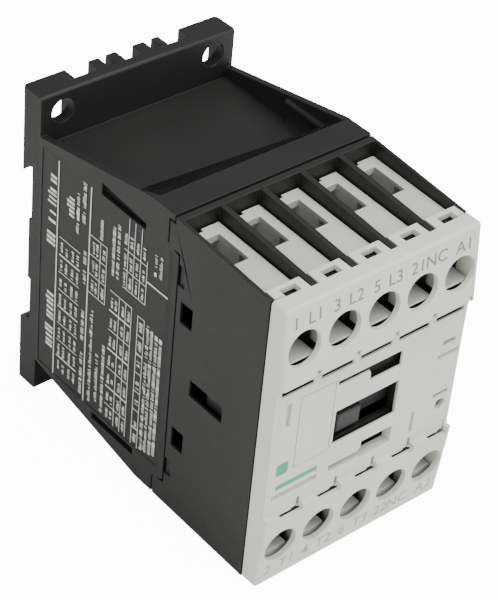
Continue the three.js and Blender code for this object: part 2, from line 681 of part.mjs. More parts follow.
function baseHousing() {
  const innerX = HALF_W - BASE_WALL;
  const seam = [
    [SEAM_STEP + CLEAR, STEP_LOW[0] + CLEAR],
    [SEAM + CLEAR, STEP_LOW[1] + CLEAR],
    [SEAM + CLEAR, STEP_HIGH[1] - CLEAR],
    [SEAM_STEP + CLEAR, STEP_HIGH[0] - CLEAR],
  ];
  const lowerEdge = BASE_UPPER.map(mirrorBase).reverse();
  const outline = [...seam, ...BASE_UPPER, ...lowerEdge];
  const walls = [
    sideProfile(outline, -HALF_W, -innerX),
    sideProfile(outline, innerX, HALF_W),
  ];
  const flange = box(-HALF_W, HALF_W, FLANGE_FRONT, DEPTH, 0, HEIGHT);
  const sill = box(-HALF_W, HALF_W, SEAM_STEP + CLEAR, SILL_BACK, TRAY_FLOOR - TRAY_WALL, SILL_TOP);
  const sillLip = box(-HALF_W, HALF_W, SEAM_TOP + CLEAR, SILL_BACK, STEP_TOP + CLEAR, SILL_TOP);
  const tray = box(-HALF_W, HALF_W, SILL_BACK - 0.5, FLANGE_FRONT + 0.5, TRAY_FLOOR - TRAY_WALL, TRAY_FLOOR);
  const lowSill = box(
    -HALF_W,
    HALF_W,
    SEAM_STEP + CLEAR,
    SILL_BACK,
    2 * BASE_MID - SILL_TOP,
    2 * BASE_MID - TRAY_FLOOR + TRAY_WALL,
  );
  const lipHalf = HALF_W - SIDE_WALL - CLEAR;
  const lipFoot = 2 * BASE_MID - SILL_TOP;
  const lowSillLip = box(-lipHalf, lipHalf, SEAM_TOP + CLEAR, SILL_BACK, lipFoot, STEP_LOW[0]);
  const lowTray = box(
    -HALF_W,
    HALF_W,
    SILL_BACK - 0.5,
    FLANGE_FRONT + 0.5,
    2 * BASE_MID - TRAY_FLOOR,
    2 * BASE_MID - TRAY_FLOOR + TRAY_WALL,
  );
  const ledges = [-1, 1].map((side) => {
    const [x0, x1] = side < 0 ? [-innerX - 0.1, -innerX + 0.9] : [innerX - 0.9, innerX + 0.1];
    return box(x0, x1, SILL_BACK + 3.5, SILL_BACK + 15, TRAY_FLOOR + 3.4, TRAY_FLOOR + 4.6);
  });
  const body = join(flange, ...walls, sill, sillLip, tray, lowSill, lowSillLip, lowTray, ...ledges);
  const holes = [-FIX_HOLE_X, FIX_HOLE_X].flatMap((x) =>
    [FIX_EDGE, HEIGHT - FIX_EDGE].map((z) => rod(x, z, FIX_HOLE_R, FLANGE_FRONT - 1, DEPTH + 1)),
  );
  const cuts = [...holes, ...holePockets(), railSlot(), ...flangeReliefs(), latchChannel()];
  return join(cut(body, ...cuts), railPad(), latchPeg());
}

// The flange is thin round the fixing holes, so that its back is pocketed there.
function holePockets() {
  const half = 3.7;
  const pocket = (x, z0, z1) => box(x - half, x + half, FLANGE_FRONT + HOLE_WEB, DEPTH + 1, z0, z1);
  return [-FIX_HOLE_X, FIX_HOLE_X].flatMap((x) => [
    pocket(x, HEIGHT - FIX_EDGE - 5.6, HEIGHT - 1.2),
    pocket(x, 1.2, FIX_EDGE + 3.4),
  ]);
}

// The flange's top and bottom edges stand back between the fixing blocks and the stiffening ribs.
function flangeReliefs() {
  const relief = (x0, x1, z0, z1) => box(x0, x1, DEPTH - RELIEF_DEPTH, DEPTH + 1, z0, z1);
  const bays = [
    [-13.2, -7.9],
    [-5.6, -3.9],
    [-1.6, 2.3],
    [4.9, 6.7],
    [8.4, 13.2],
  ];
  return bays.flatMap(([x0, x1]) => [
    relief(x0, x1, RAIL_HEAD + 3.2, HEIGHT + 1),
    relief(x0, x1, -1, 2.2),
  ]);
}

function railSlot() {
  const lip = SEAT + HOOK_UNDERCUT;
  const outline = [
    [SEAT, RAIL_FOOT],
    [lip, RAIL_FOOT],
    [DEPTH + 1, RAIL_FOOT - 2.2],
    [DEPTH + 1, RAIL_HEAD - HOOK_DROP - 0.5],
    [DEPTH, RAIL_HEAD - HOOK_DROP],
    [lip, RAIL_HEAD],
    [SEAT, RAIL_HEAD],
  ];
  return sideProfile(outline, -HALF_W - 1, HALF_W + 1);
}

function railPad() {
  return box(-HALF_W, HALF_W, SEAT - 0.5, SEAT + PAD_T, RAIL_FOOT + 9.6, RAIL_FOOT + 23.6);
}

// ---------------------------------------------------------------- rail latch

const LATCH_HALF = 6.2; // half width of the visible slide
const LATCH_WING = 1.3; // guide wing on each side
const LATCH_WING_T = 1.2;
const LATCH_T = 4.4; // from its inner face to the wall
const LATCH_FOOT = 3.2;
const LATCH_FRONT = DEPTH - LATCH_T;

function latchChannel() {
  const wing = LATCH_HALF + LATCH_WING + RUN;
  const slide = LATCH_HALF + RUN;
  return join(
    box(-wing, wing, LATCH_FRONT - CLEAR, LATCH_FRONT + LATCH_WING_T + RUN, -1, RAIL_FOOT + 0.6),
    box(-slide, slide, LATCH_FRONT - CLEAR, DEPTH + 1, -1, RAIL_FOOT + 0.6),
  );
}

// A fixed peg in the channel, which the latch spring stands on.
function latchPeg() {
  return box(-1.7, 1.7, LATCH_FRONT - 0.8, LATCH_FRONT + 2.9, LATCH_FOOT + 3.2, LATCH_FOOT + 5.2);
}

function railLatch() {
  const wing = LATCH_HALF + LATCH_WING;
  const shoulder = RAIL_FOOT - 0.2;
  const hook = [
    [SEAT + HOOK_UNDERCUT + 0.1, shoulder - 0.5],
    [DEPTH - 0.2, shoulder - 0.5],
    [DEPTH - 0.2, shoulder + 0.2],
    [DEPTH - 1.0, shoulder + 1.8],
    [SEAT + HOOK_UNDERCUT + 0.1, shoulder + 1.8],
  ];
  const pocket = box(-2.2, 2.2, LATCH_FRONT - 1, LATCH_FRONT + 3.2, LATCH_FOOT + 2.9, shoulder - 2.2);
  const grip = box(-2.5, 2.5, LATCH_FRONT + 2.6, DEPTH + 1, LATCH_FOOT - 1, LATCH_FOOT + 1.4);
  return cut(
    join(
      box(-wing, wing, LATCH_FRONT, LATCH_FRONT + LATCH_WING_T, LATCH_FOOT, shoulder),
      box(-LATCH_HALF, LATCH_HALF, LATCH_FRONT, DEPTH - 0.2, LATCH_FOOT, shoulder),
      sideProfile(hook, -LATCH_HALF, LATCH_HALF),
    ),
    box(-LATCH_HALF - 2, LATCH_HALF + 2, SEAT - 1, SEAT + HOOK_UNDERCUT, shoulder, shoulder + 5),
    pocket,
    grip,
  );
}

place("base_housing", baseHousing(), BLACK);
place("rail_latch", railLatch(), CARRIER_GREY);
place(
  "latch_spring",
  spring(
    new THREE.Vector3(0, LATCH_FRONT + 1.6, LATCH_FOOT + 5.6),
    new THREE.Vector3(0, LATCH_FRONT + 1.6, RAIL_FOOT - 0.2 - 2.6),
    1.15,
    5,
    0.22,
  ),
  SPRING,
);

// ---------------------------------------------------------------- front cover

// The face's profile, [y, z], or a line that runs a wall's thickness behind it.
function coverFace(inset) {
  return [
    [FACE_LEAN + inset, COVER_FOOT + inset],
    [inset, FACE_LOW - inset],
    [MIDDLE_SET + inset, FACE_LOW - inset],
    [MIDDLE_SET + inset, FACE_UP + inset],
    [inset, FACE_UP + inset],
    [FACE_LEAN + inset, COVER_TOP - inset],
  ];
}

// The thick rim round the lower stepped slot: [left, right, low, high].
function catchWeb(grow) {
  return [
    -WINDOW_HALF - 0.6 - grow,
    WINDOW_HALF + 0.4 + grow,
    MID_Z + CATCH_LOW - 0.5 - grow,
    MID_Z + CATCH_HIGH + 0.5 + grow,
  ];
}

function frontCover() {
  const shell = sideProfile(
    [...coverFace(0), [COVER_DEPTH, COVER_TOP], [COVER_DEPTH, COVER_FOOT]],
    -HALF_W,
    HALF_W,
  );
  const back = COVER_DEPTH + 1;
  const hollow = sideProfile(
    [...coverFace(COVER_WALL), [back, COVER_TOP - COVER_WALL], [back, COVER_FOOT + COVER_WALL]],
    -HALF_W + SIDE_WALL,
    HALF_W - SIDE_WALL,
  );
  const tabs = ROWS.flatMap((row) =>
    POLE_NAMES.map((_, pole) => {
      const x = poleX(pole);
      const half = (PITCH - RIB) / 2 - CLEAR;
      const high = row.up ? COVER_TOP - MID_Z : MID_Z - COVER_FOOT;
      return rowBox(row, x - half, x + half, COVER_DEPTH - 1, TAB_DEPTH, high - COVER_WALL, high);
    }),
  );
  const [webLeft, webRight, webLow, webHigh] = catchWeb(0);
  const web = box(webLeft, webRight, MIDDLE_SET + 0.5, MIDDLE_SET + CATCH_DEPTH, webLow, webHigh);
  return cut(
    join(cut(shell, hollow, ...lipReliefs()), web, ...tabs),
    ...driverHoles(),
    ...ribNotches(),
    ...tabWindows(),
    ...terminalSlots(),
    ...middleOpenings(),
    plateRecess(),
  );
}

const driverHoles = () =>
  ROWS.flatMap((row) => POLE_NAMES.map((_, pole) => rod(poleX(pole), row.z(ROW), DRIVER_HOLE_R, -1, 4)));

function ribNotches() {
  const half = RIB / 2 + CLEAR;
  return POLE_NAMES.slice(1).map((_, i) => {
    const x = poleX(i) + PITCH / 2;
    return box(x - half, x + half, RIB_FRONT - CLEAR, TAB_DEPTH + 1, COVER_FOOT - 1, COVER_TOP + 1);
  });
}

function tabWindows() {
  return ROWS.flatMap((row) =>
    POLE_NAMES.map((_, pole) => rowBox(row, poleX(pole) - 1.6, poleX(pole) + 1.9, 4.9, 6.8, 25, 40)),
  );
}

// A slot under every upper terminal, and a notch in the upper edge of every lower one with a slit at its
// right end.
function terminalSlots() {
  const side = HALF_W - SIDE_WALL - 0.2;
  return POLE_NAMES.flatMap((_, pole) => {
    const x = poleX(pole);
    const right = Math.min(x + 4, side);
    const ledge = FACE_LOW - 1.55;
    return [
      box(x - 3.3, right, -1, 4, FACE_UP - 2.6, FACE_UP + 0.1),
      box(x + 3.1, right, -1, 4, FACE_UP - 1, FACE_UP + 1.3),
      box(x - 1.5, right, -1, MIDDLE_SET, ledge, FACE_LOW + 0.1),
      box(x + 2.3, x + 3.6, -1, 4, ledge, ledge + 0.7),
      box(x + 3.3, right, -1, 4, FACE_LOW - 0.9, FACE_LOW + 1.2),
    ];
  });
}

// The cover is thin behind the slots and the window, so that only their dark depth is seen.
function lipReliefs() {
  const relief = (half, low, high) => box(-half, half, MIDDLE_SET + LIP, COVER_DEPTH, low, high);
  return [
    relief(HALF_W - SIDE_WALL - CLEAR, FACE_UP - 4, FACE_UP),
    relief(WINDOW_HALF + 0.5, MID_Z + 5.3, FACE_UP - 3.9),
    relief(WINDOW_HALF + 0.5, MID_Z + WINDOW_LOW - 1.4, MID_Z + WINDOW_HIGH + 0.4),
  ];
}

// Window over the carrier, the stepped slots above and below it, and the small openings beside it.
function middleOpenings() {
  const opening = (x0, x1, low, high, back = 4) => box(x0, x1, -1, back, MID_Z + low, MID_Z + high);
  return [
    opening(-WINDOW_HALF, WINDOW_HALF, WINDOW_LOW, WINDOW_HIGH),
    opening(-WINDOW_HALF - 0.3, WINDOW_HALF - 0.3, 9.1, 10.1),
    opening(-0.2, WINDOW_HALF - 0.3, 6.7, 9.6),
    opening(-WINDOW_HALF - 0.2, WINDOW_HALF - 0.1, CATCH_LOW + 0.4, CATCH_LOW + 1.9),
    opening(-0.1, WINDOW_HALF - 0.1, CATCH_LOW, CATCH_HIGH),
    opening(17.6, 20.7, 6.0, 7.1),
    opening(16.8, 21.5, 3.1, 4.1),
    opening(17.3, 21.0, -6.2, -5.3),
    rod(19.5, MID_Z - 8.4, 1.2, -1, 4, SLIM),
    opening(-19.7, -18.6, 5.4, 10.6, MIDDLE_SET + 0.7),
    opening(12.1, 13.0, -11.9, -7.0, MIDDLE_SET + 0.7),
    opening(-20.9, -10.4, -11.2, -10.0, MIDDLE_SET + 0.9),
  ];
}

function plateRecess() {
  const back = MIDDLE_SET + PLATE_T + RUN;
  return box(PLATE_LEFT - RUN, PLATE_RIGHT + RUN, -1, back, MID_Z + PLATE_LOW, MID_Z + PLATE_HIGH);
}

place("front_cover", frontCover(), GREY);
place(
  "marking_plate",
  box(
    PLATE_LEFT,
    PLATE_RIGHT,
    MIDDLE_SET,
    MIDDLE_SET + PLATE_T,
    MID_Z + PLATE_LOW + RUN,
    MID_Z + PLATE_HIGH - RUN,
  ),
  LABEL,
);

export default device;
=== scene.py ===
"""Looks of a compact rail-mounted motor starter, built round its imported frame.

The classes hold millimetres: X runs to the right, Y runs from the cover's foremost edge towards the wall, and
Z points up from the foot of the fixing flange. deliver() turns a finished piece into the frame's metres.
"""

import json
import logging
import math
import random
from collections.abc import Callable, Iterator
from contextlib import contextmanager
from dataclasses import dataclass
from enum import Enum

import bmesh
import bpy
from mathutils import Matrix, Vector

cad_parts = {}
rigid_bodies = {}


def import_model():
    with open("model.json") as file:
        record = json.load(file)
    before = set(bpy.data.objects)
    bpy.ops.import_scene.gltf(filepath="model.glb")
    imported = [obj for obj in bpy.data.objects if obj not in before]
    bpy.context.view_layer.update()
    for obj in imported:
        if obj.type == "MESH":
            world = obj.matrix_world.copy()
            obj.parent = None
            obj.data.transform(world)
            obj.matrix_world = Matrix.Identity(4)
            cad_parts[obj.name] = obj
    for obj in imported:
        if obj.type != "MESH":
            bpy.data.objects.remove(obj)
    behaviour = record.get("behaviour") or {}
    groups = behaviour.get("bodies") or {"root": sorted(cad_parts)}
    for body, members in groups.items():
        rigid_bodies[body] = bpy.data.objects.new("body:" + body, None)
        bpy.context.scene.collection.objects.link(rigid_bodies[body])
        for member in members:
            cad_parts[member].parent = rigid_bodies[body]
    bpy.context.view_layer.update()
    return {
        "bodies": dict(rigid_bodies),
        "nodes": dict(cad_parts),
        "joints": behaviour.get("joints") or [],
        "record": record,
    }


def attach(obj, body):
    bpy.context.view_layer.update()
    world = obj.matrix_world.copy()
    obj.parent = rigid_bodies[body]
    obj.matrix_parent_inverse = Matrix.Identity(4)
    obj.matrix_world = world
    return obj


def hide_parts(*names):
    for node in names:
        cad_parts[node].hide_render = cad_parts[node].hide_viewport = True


LOG = logging.getLogger("motor_starter")
Box = tuple[float, float, float, float, float, float]  # x0, x1, y0, y1, z0, z1
Cut = tuple[tuple[float, float], tuple[float, float]]  # a place on a plane and its outward way, as y and z
Strip = tuple[float, float, float, float]  # y0, y1, z0, z1
Link = tuple[bpy.types.Node, str]

DEPTH = 75.0  # foremost edge to the wall
HALF_W = 22.5
PITCH = 9.0  # distance between poles
POLE_NAMES = ("l1", "l2", "l3", "aux", "coil")
MID_Z = 32.4  # height of the carrier's centre line
ROW = 22.6  # screw rows, above and below the centre line
RIB = 1.2  # black partitions between the terminals
COVER_FOOT = 0.7
COVER_TOP = 64.1
GAP = 0.3  # play between neighbouring mouldings
BEYOND = HALF_W + 1.5  # cutters that run through the whole width end here
FIX_HOLE_X = 17.5  # fixing holes, from the middle


def pole_x(pole: int) -> float:
    """Place of a pole's centre line."""
    return (pole - 2) * PITCH


# ---------------------------------------------------------------- modelling moves


def deselect_all() -> None:
    """Leave nothing selected, the frame's nodes among them."""
    bpy.ops.object.select_all(action="DESELECT")


def take(piece: bpy.types.Object) -> None:
    """Select one piece alone and make it active."""
    deselect_all()
    piece.select_set(True)
    bpy.context.view_layer.objects.active = piece


@contextmanager
def edit_mode(piece: bpy.types.Object, kind: str = "EDGE") -> Iterator[bmesh.types.BMesh]:
    """Work on a piece in edit mode, with nothing selected at first.

    Args:
        piece: The mesh object.
        kind: What is selected: VERT, EDGE or FACE.

    Returns:
        The mesh that is being edited.
    """
    take(piece)
    bpy.ops.object.mode_set(mode="EDIT")
    bpy.ops.mesh.select_mode(type=kind)
    bpy.ops.mesh.select_all(action="DESELECT")
    try:
        yield bmesh.from_edit_mesh(piece.data)
    finally:
        bpy.ops.object.mode_set(mode="OBJECT")


def block(box: Box, name: str = "block") -> bpy.types.Object:
    """Add a block between two corners.

    Args:
        box: Its lowest and highest x, y and z.
        name: The object's name.

    Returns:
        The block, with its place in its mesh.
    """
    x0, x1, y0, y1, z0, z1 = box
    deselect_all()
    bpy.ops.mesh.primitive_cube_add(
        size=1,
        location=((x0 + x1) / 2, (y0 + y1) / 2, (z0 + z1) / 2),
        scale=(x1 - x0, y1 - y0, z1 - z0),
    )
    piece = bpy.context.object
    piece.name = name
    bpy.ops.object.transform_apply(location=True, rotation=True, scale=True)
    return piece


def barrel(
    x: float,
    z: float,
    y0: float,
    y1: float,
    front: float,
    back: float | None = None,
    sides: int = 56,
) -> bpy.types.Object:
    """Add a round rod or cone along Y.

    Args:
        x: Place of its axis.
        z: Height of its axis.
        y0: Front end.
        y1: Back end.
        front: Radius at the front end.
        back: Radius at the back end, if it isn't the same.
        sides: How many faces go round it.

    Returns:
        The rod.
    """
    deselect_all()
    bpy.ops.mesh.primitive_cone_add(
        vertices=sides,
        radius1=front if back is None else back,
        radius2=front,
        depth=y1 - y0,
        location=(x, (y0 + y1) / 2, z),
        rotation=(math.pi / 2, 0, 0),
    )
    piece = bpy.context.object
    bpy.ops.object.transform_apply(location=True, rotation=True, scale=True)
    return piece


def slice_off(piece: bpy.types.Object, point: Vector, outward: Vector) -> None:
    """Slice a piece with a plane, and close the cut.

    Args:
        piece: The piece to slice.
        point: A place on the plane.
        outward: The side that goes.
    """
    with edit_mode(piece, "FACE"):
        bpy.ops.mesh.select_all(action="SELECT")
        bpy.ops.mesh.bisect(
            plane_co=point,
            plane_no=outward.normalized(),
            use_fill=True,
            clear_outer=True,
            threshold=1e-5,
        )


def trim(piece: bpy.types.Object, cut: Cut) -> None:
    """Slice a piece with a plane that runs along X."""
    (y, z), (out_y, out_z) = cut
    slice_off(piece, Vector((0, y, z)), Vector((0, out_y, out_z)))


def side_block(box: Box, cuts: list[Cut]) -> bpy.types.Object:
    """Add a block and slice it with planes along X."""
    piece = block(box)
    for cut in cuts:
        trim(piece, cut)
    return piece


def combine(
    piece: bpy.types.Object, tools: list[bpy.types.Object], operation: str
) -> bpy.types.Object:
    """Join pieces to a body, or cut them from it, and remove them.

    Args:
        piece: The body.
        tools: The pieces that are joined or cut.
        operation: UNION or DIFFERENCE.

    Returns:
        The body.
    """
    for tool in tools:
        take(piece)
        step = piece.modifiers.new(operation, "BOOLEAN")
        step.operation = operation
        step.solver = "MANIFOLD"
        step.object = tool
        bpy.ops.object.modifier_apply(modifier=step.name)
        bpy.data.objects.remove(tool, do_unlink=True)
    return piece


def carve(piece: bpy.types.Object, *tools: bpy.types.Object) -> bpy.types.Object:
    """Cut tools from a body."""
    return combine(piece, list(tools), "DIFFERENCE")


def fuse(piece: bpy.types.Object, *others: bpy.types.Object) -> bpy.types.Object:
    """Join pieces to a body."""
    return combine(piece, list(others), "UNION")


def round_edges(
    piece: bpy.types.Object,
    radius: float,
    picks: Callable[[Vector, Vector], bool],
    segments: int = 4,
) -> None:
    """Round the edges that a rule picks.

    Args:
        piece: The piece.
        radius: Radius of the rounding.
        picks: Says from an edge's middle and direction whether it is rounded.
        segments: How many faces make the rounding.
    """
    with edit_mode(piece) as mesh:
        for edge in mesh.edges:
            first, last = (v.co for v in edge.verts)
            way = last - first
            if way.length > 1e-6 and picks((first + last) / 2, way.normalized()):
                edge.select_set(True)
        mesh.select_flush_mode()
        bpy.ops.mesh.bevel(offset=radius, segments=segments, affect="EDGES", clamp_overlap=True)


def soften(piece: bpy.types.Object, width: float, segments: int = 2) -> None:
    """Break every edge sharper than 38 degrees and shade the piece smoothly.

    Args:
        piece: The piece.
        width: Width of the broken edge.
        segments: How many faces make it.
    """
    with edit_mode(piece, "VERT"):
        bpy.ops.mesh.select_all(action="SELECT")
        bpy.ops.mesh.remove_doubles(threshold=1e-4)
        bpy.ops.mesh.dissolve_limited(angle_limit=math.radians(0.5))
    take(piece)
    edge = piece.modifiers.new("broken edges", "BEVEL")
    edge.width = width
    edge.segments = segments
    edge.limit_method = "ANGLE"
    edge.angle_limit = math.radians(38)
    edge.use_clamp_overlap = False
    bpy.ops.object.modifier_apply(modifier=edge.name)
    bpy.ops.object.shade_smooth()
    normals = piece.modifiers.new("flat faces stay flat", "WEIGHTED_NORMAL")
    normals.keep_sharp = True
    bpy.ops.object.modifier_apply(modifier=normals.name)


def duplicate(piece: bpy.types.Object) -> bpy.types.Object:
    """Copy a piece, with a mesh of its own."""
    take(piece)
    bpy.ops.object.duplicate(linked=False)
    return bpy.context.object


def deliver(
    piece: bpy.types.Object,
    name: str,
    body: str,
    finish: bpy.types.Material,
    slot: str,
    *nodes: str,
) -> None:
    """Bring a finished piece into the frame.

    Args:
        piece: The piece, drawn in millimetres.
        name: Its final name.
        body: The frame's body that it moves with.
        finish: Its material.
        slot: Not used.
        nodes: The frame's nodes that it stands for.
    """
    take(piece)
    piece.name = name
    metres = Matrix.Diagonal((0.001, 0.001, 0.001, 1))
    piece.data.transform(metres @ Matrix.Translation((0, -DEPTH / 2, 0)))
    piece.data.materials.clear()
    piece.data.materials.append(finish)
    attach(piece, body)
    if nodes:
        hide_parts(*nodes)
    LOG.info("%s: %d faces on %s", name, len(piece.data.polygons), body)


# ---------------------------------------------------------------- finishes


def linear(hex_colour: str) -> tuple[float, float, float, float]:
    """Turn an sRGB hex value into the linear colour that the shader takes."""
    parts = [int(hex_colour[i : i + 2], 16) / 255 for i in (1, 3, 5)]
    red, green, blue = (c / 12.92 if c <= 0.04045 else ((c + 0.055) / 1.055) ** 2.4 for c in parts)
    return red, green, blue, 1.0


def add_node(
    tree: bpy.types.NodeTree,
    kind: str,
    values: dict[str, object] | None = None,
    links: dict[str, Link] | None = None,
) -> bpy.types.Node:
    """Add one shader node with its settings and links.

    Args:
        tree: The material's node tree.
        kind: The node's type.
        values: Its properties or input values, by name.
        links: What feeds its inputs: a node and the name of its output.

    Returns:
        The node.
    """
    node = tree.nodes.new(kind)
    for key, value in (values or {}).items():
        if key in node.inputs:
            node.inputs[key].default_value = value
        else:
            setattr(node, key, value)
    for key, (source, output) in (links or {}).items():
        tree.links.new(source.outputs[output], node.inputs[key])
    return node


def fresh_material(name: str) -> tuple[bpy.types.Material, bpy.types.NodeTree, bpy.types.Node]:
    """Start a material.

    Args:
        name: The real material's name.

    Returns:
        The material, its node tree and its shader node.
    """
    material = bpy.data.materials.new(name)
    material.use_nodes = True
    tree = material.node_tree
    return material, tree, tree.nodes["Principled BSDF"]


@dataclass(frozen=True)
class MouldedPlastic:
    """Injection-moulded plastic with a fine spark-eroded texture: soft sheen, faint cloudiness."""

    name: str
    low: str  # darker and lighter end of its cloudiness
    high: str
    roughness: float
    grain_mm: float = 0.35  # the real texture is about 0.1 mm, and is drawn coarser so that it shows
    grain_depth: float = 0.12
    cloud_mm: float = 14.0
    ior: float = 1.53
    coat: float = 0.0
    shine: float = 0.5  # share of light that its skin mirrors; a fine texture scatters part of it

    def build(self) -> bpy.types.Material:
        """Make the material."""
        material, tree, shader = fresh_material(self.name)
        place = add_node(tree, "ShaderNodeTexCoord")
        cloud = add_node(
            tree,
            "ShaderNodeTexNoise",
            {"Scale": 1000 / self.cloud_mm, "Detail": 3.0, "Roughness": 0.55},
            {"Vector": (place, "Object")},
        )
        colour = add_node(tree, "ShaderNodeValToRGB", links={"Fac": (cloud, "Fac")})
        colour.color_ramp.elements[0].position = 0.3
        colour.color_ramp.elements[0].color = linear(self.low)
        colour.color_ramp.elements[1].position = 0.7
        colour.color_ramp.elements[1].color = linear(self.high)
        grain = add_node(
            tree,
            "ShaderNodeTexNoise",
            {"Scale": 1000 / self.grain_mm, "Detail": 2.0, "Roughness": 0.6},
            {"Vector": (place, "Object")},
        )
        sheen = add_node(
            tree,
            "ShaderNodeMapRange",
            {
                "From Min": 0.3,
                "From Max": 0.7,
                "To Min": self.roughness - 0.05,
                "To Max": self.roughness + 0.05,
            },
            {"Value": (grain, "Fac")},
        )
        relief = add_node(
            tree,
            "ShaderNodeBump",
            {"Strength": self.grain_depth, "Distance": 0.00004},
            {"Height": (grain, "Fac")},
        )
        tree.links.new(colour.outputs["Color"], shader.inputs["Base Color"])
        tree.links.new(sheen.outputs["Result"], shader.inputs["Roughness"])
        tree.links.new(relief.outputs["Normal"], shader.inputs["Normal"])
        shader.inputs["IOR"].default_value = self.ior
        shader.inputs["Specular IOR Level"].default_value = self.shine
        shader.inputs["Coat Weight"].default_value = self.coat
        shader.inputs["Coat Roughness"].default_value = 0.25
        return material


@dataclass(frozen=True)
class WorkedMetal:
    """Metal that was stamped, rolled or drawn: fine lines along one axis, with dark and bright patches."""

    name: str
    low: str
    high: str
    roughness: float
    lines_mm: tuple[float, float, float] = (0.25, 4.0, 0.25)  # size of the lines along x, y and z
    depth: float = 0.1

    def build(self) -> bpy.types.Material:
        """Make the material."""
        material, tree, shader = fresh_material(self.name)
        place = add_node(tree, "ShaderNodeTexCoord")
        stretch = add_node(
            tree,
            "ShaderNodeMapping",
            {"Scale": tuple(1000 / size for size in self.lines_mm)},
            {"Vector": (place, "Object")},
        )
        lines = add_node(
            tree,
            "ShaderNodeTexNoise",
            {"Scale": 1.0, "Detail": 3.0, "Roughness": 0.6},
            {"Vector": (stretch, "Vector")},
        )
        colour = add_node(tree, "ShaderNodeValToRGB", links={"Fac": (lines, "Fac")})
        colour.color_ramp.elements[0].position = 0.3
        colour.color_ramp.elements[0].color = linear(self.low)
        colour.color_ramp.elements[1].position = 0.7
        colour.color_ramp.elements[1].color = linear(self.high)
        shine = add_node(
            tree,
            "ShaderNodeMapRange",
            {
                "From Min": 0.3,
                "From Max": 0.7,
                "To Min": self.roughness - 0.07,
                "To Max": self.roughness + 0.09,
            },
            {"Value": (lines, "Fac")},
        )
        relief = add_node(
            tree, "ShaderNodeBump", {"Strength": self.depth, "Distance": 0.00003}, {"Height": (lines, "Fac")}
        )
        tree.links.new(colour.outputs["Color"], shader.inputs["Base Color"])
        tree.links.new(shine.outputs["Result"], shader.inputs["Roughness"])
        tree.links.new(relief.outputs["Normal"], shader.inputs["Normal"])
        shader.inputs["Metallic"].default_value = 1.0
        return material


@dataclass(frozen=True)
class LayeredMetal:
    """Riveted iron laminations or wire wound in layers: regular lines across one axis."""

    name: str
    low: str
    high: str
    pitch_mm: float
    axis: str  # X, Y or Z: the way from layer to layer
    roughness: float
    metallic: float

    def build(self) -> bpy.types.Material:
        """Make the material."""
        material, tree, shader = fresh_material(self.name)
        place = add_node(tree, "ShaderNodeTexCoord")
        scale = 1000 / self.pitch_mm / (2 * math.pi) * 0.5
        layers = add_node(
            tree,
            "ShaderNodeTexWave",
            {"bands_direction": self.axis, "Scale": scale, "Distortion": 0.4},
            {"Vector": (place, "Object")},
        )
        colour = add_node(tree, "ShaderNodeValToRGB", links={"Fac": (layers, "Fac")})
        colour.color_ramp.elements[0].color = linear(self.low)
        colour.color_ramp.elements[1].position = 0.55
        colour.color_ramp.elements[1].color = linear(self.high)
        relief = add_node(
            tree, "ShaderNodeBump", {"Strength": 0.5, "Distance": 0.0001}, {"Height": (layers, "Fac")}
        )
        tree.links.new(colour.outputs["Color"], shader.inputs["Base Color"])
        tree.links.new(relief.outputs["Normal"], shader.inputs["Normal"])
        shader.inputs["Roughness"].default_value = self.roughness
        shader.inputs["Metallic"].default_value = self.metallic
        return material


class Finish(Enum):
    """The starter's finishes, each named for what the real piece is made of."""

    # moulded in spark-eroded tools: dull, and almost even in colour
    HOUSING = MouldedPlastic(
        "black glass-filled polyamide", "#1a1918", "#201f1e", 0.5, cloud_mm=18, shine=0.3
    )
    # moulded with a fine texture: soft highlights on the rounded rims
    COVER = MouldedPlastic("light grey polycarbonate", "#d2d1c9", "#dad9d1", 0.5, grain_depth=0.08)
    # moulded in smoother tools: a little glossier than the cover
    INSERT = MouldedPlastic(
        "light grey polyamide inserts", "#bdc0b8", "#c7c9c1", 0.34, grain_depth=0.05, coat=0.15
    )
    # pressed thermoset: dark, with a faint sheen
    CARRIER = MouldedPlastic("dark grey thermoset", "#2a292b", "#323133", 0.5, grain_depth=0.1, shine=0.4)
    # moulded against polished steel: smooth, so that the marking pen holds
    LABEL = MouldedPlastic("smooth marking plate", "#d3d2cc", "#d8d7d2", 0.42, grain_depth=0.03)
    # inks from a soft pad: thin, matt and a little uneven
    DARK_PRINT = MouldedPlastic("grey pad print", "#77777a", "#828284", 0.55, grain_depth=0.02, cloud_mm=1.5)
    FAINT_PRINT = MouldedPlastic(
        "pale grey pad print", "#9b9b98", "#a6a6a2", 0.55, grain_depth=0.02, cloud_mm=1.5
    )
    WHITE_PRINT = MouldedPlastic("white pad print", "#c9c8c4", "#dddcd8", 0.6, grain_depth=0.02, cloud_mm=1.2)
    GREEN_PRINT = MouldedPlastic("green pad print", "#3f9a72", "#4aa87e", 0.5, grain_depth=0.02, cloud_mm=2.0)
    # barrel-plated: bright, with soft patches; the other metals are stamped or drawn, with fine lines
    ZINC = WorkedMetal("zinc-plated steel", "#a9adb1", "#c7cacd", 0.3)
    BRASS = WorkedMetal("stamped brass", "#b8924c", "#d0aa62", 0.32)
    WIRE = WorkedMetal("drawn spring steel", "#a8abae", "#c9cbcd", 0.28, (0.2, 0.2, 0.2))
    # stacked sheets and wound wire: regular lines from layer to layer
    IRON = LayeredMetal("riveted iron laminations", "#4a4c50", "#85888c", 0.5, "X", 0.45, 0.9)
    COPPER = LayeredMetal("enamelled copper winding", "#6d2c12", "#b4653a", 0.3, "Y", 0.35, 0.7)


class FinishShelf:
    """Makes each finish once and hands it out."""

    def __init__(self) -> None:
        """Start with an empty shelf."""
        self.made: dict[Finish, bpy.types.Material] = {}

    def get(self, finish: Finish) -> bpy.types.Material:
        """Hand out a finish, made at its first use."""
        if finish not in self.made:
            self.made[finish] = finish.value.build()
        return self.made[finish]


# ---------------------------------------------------------------- front cover


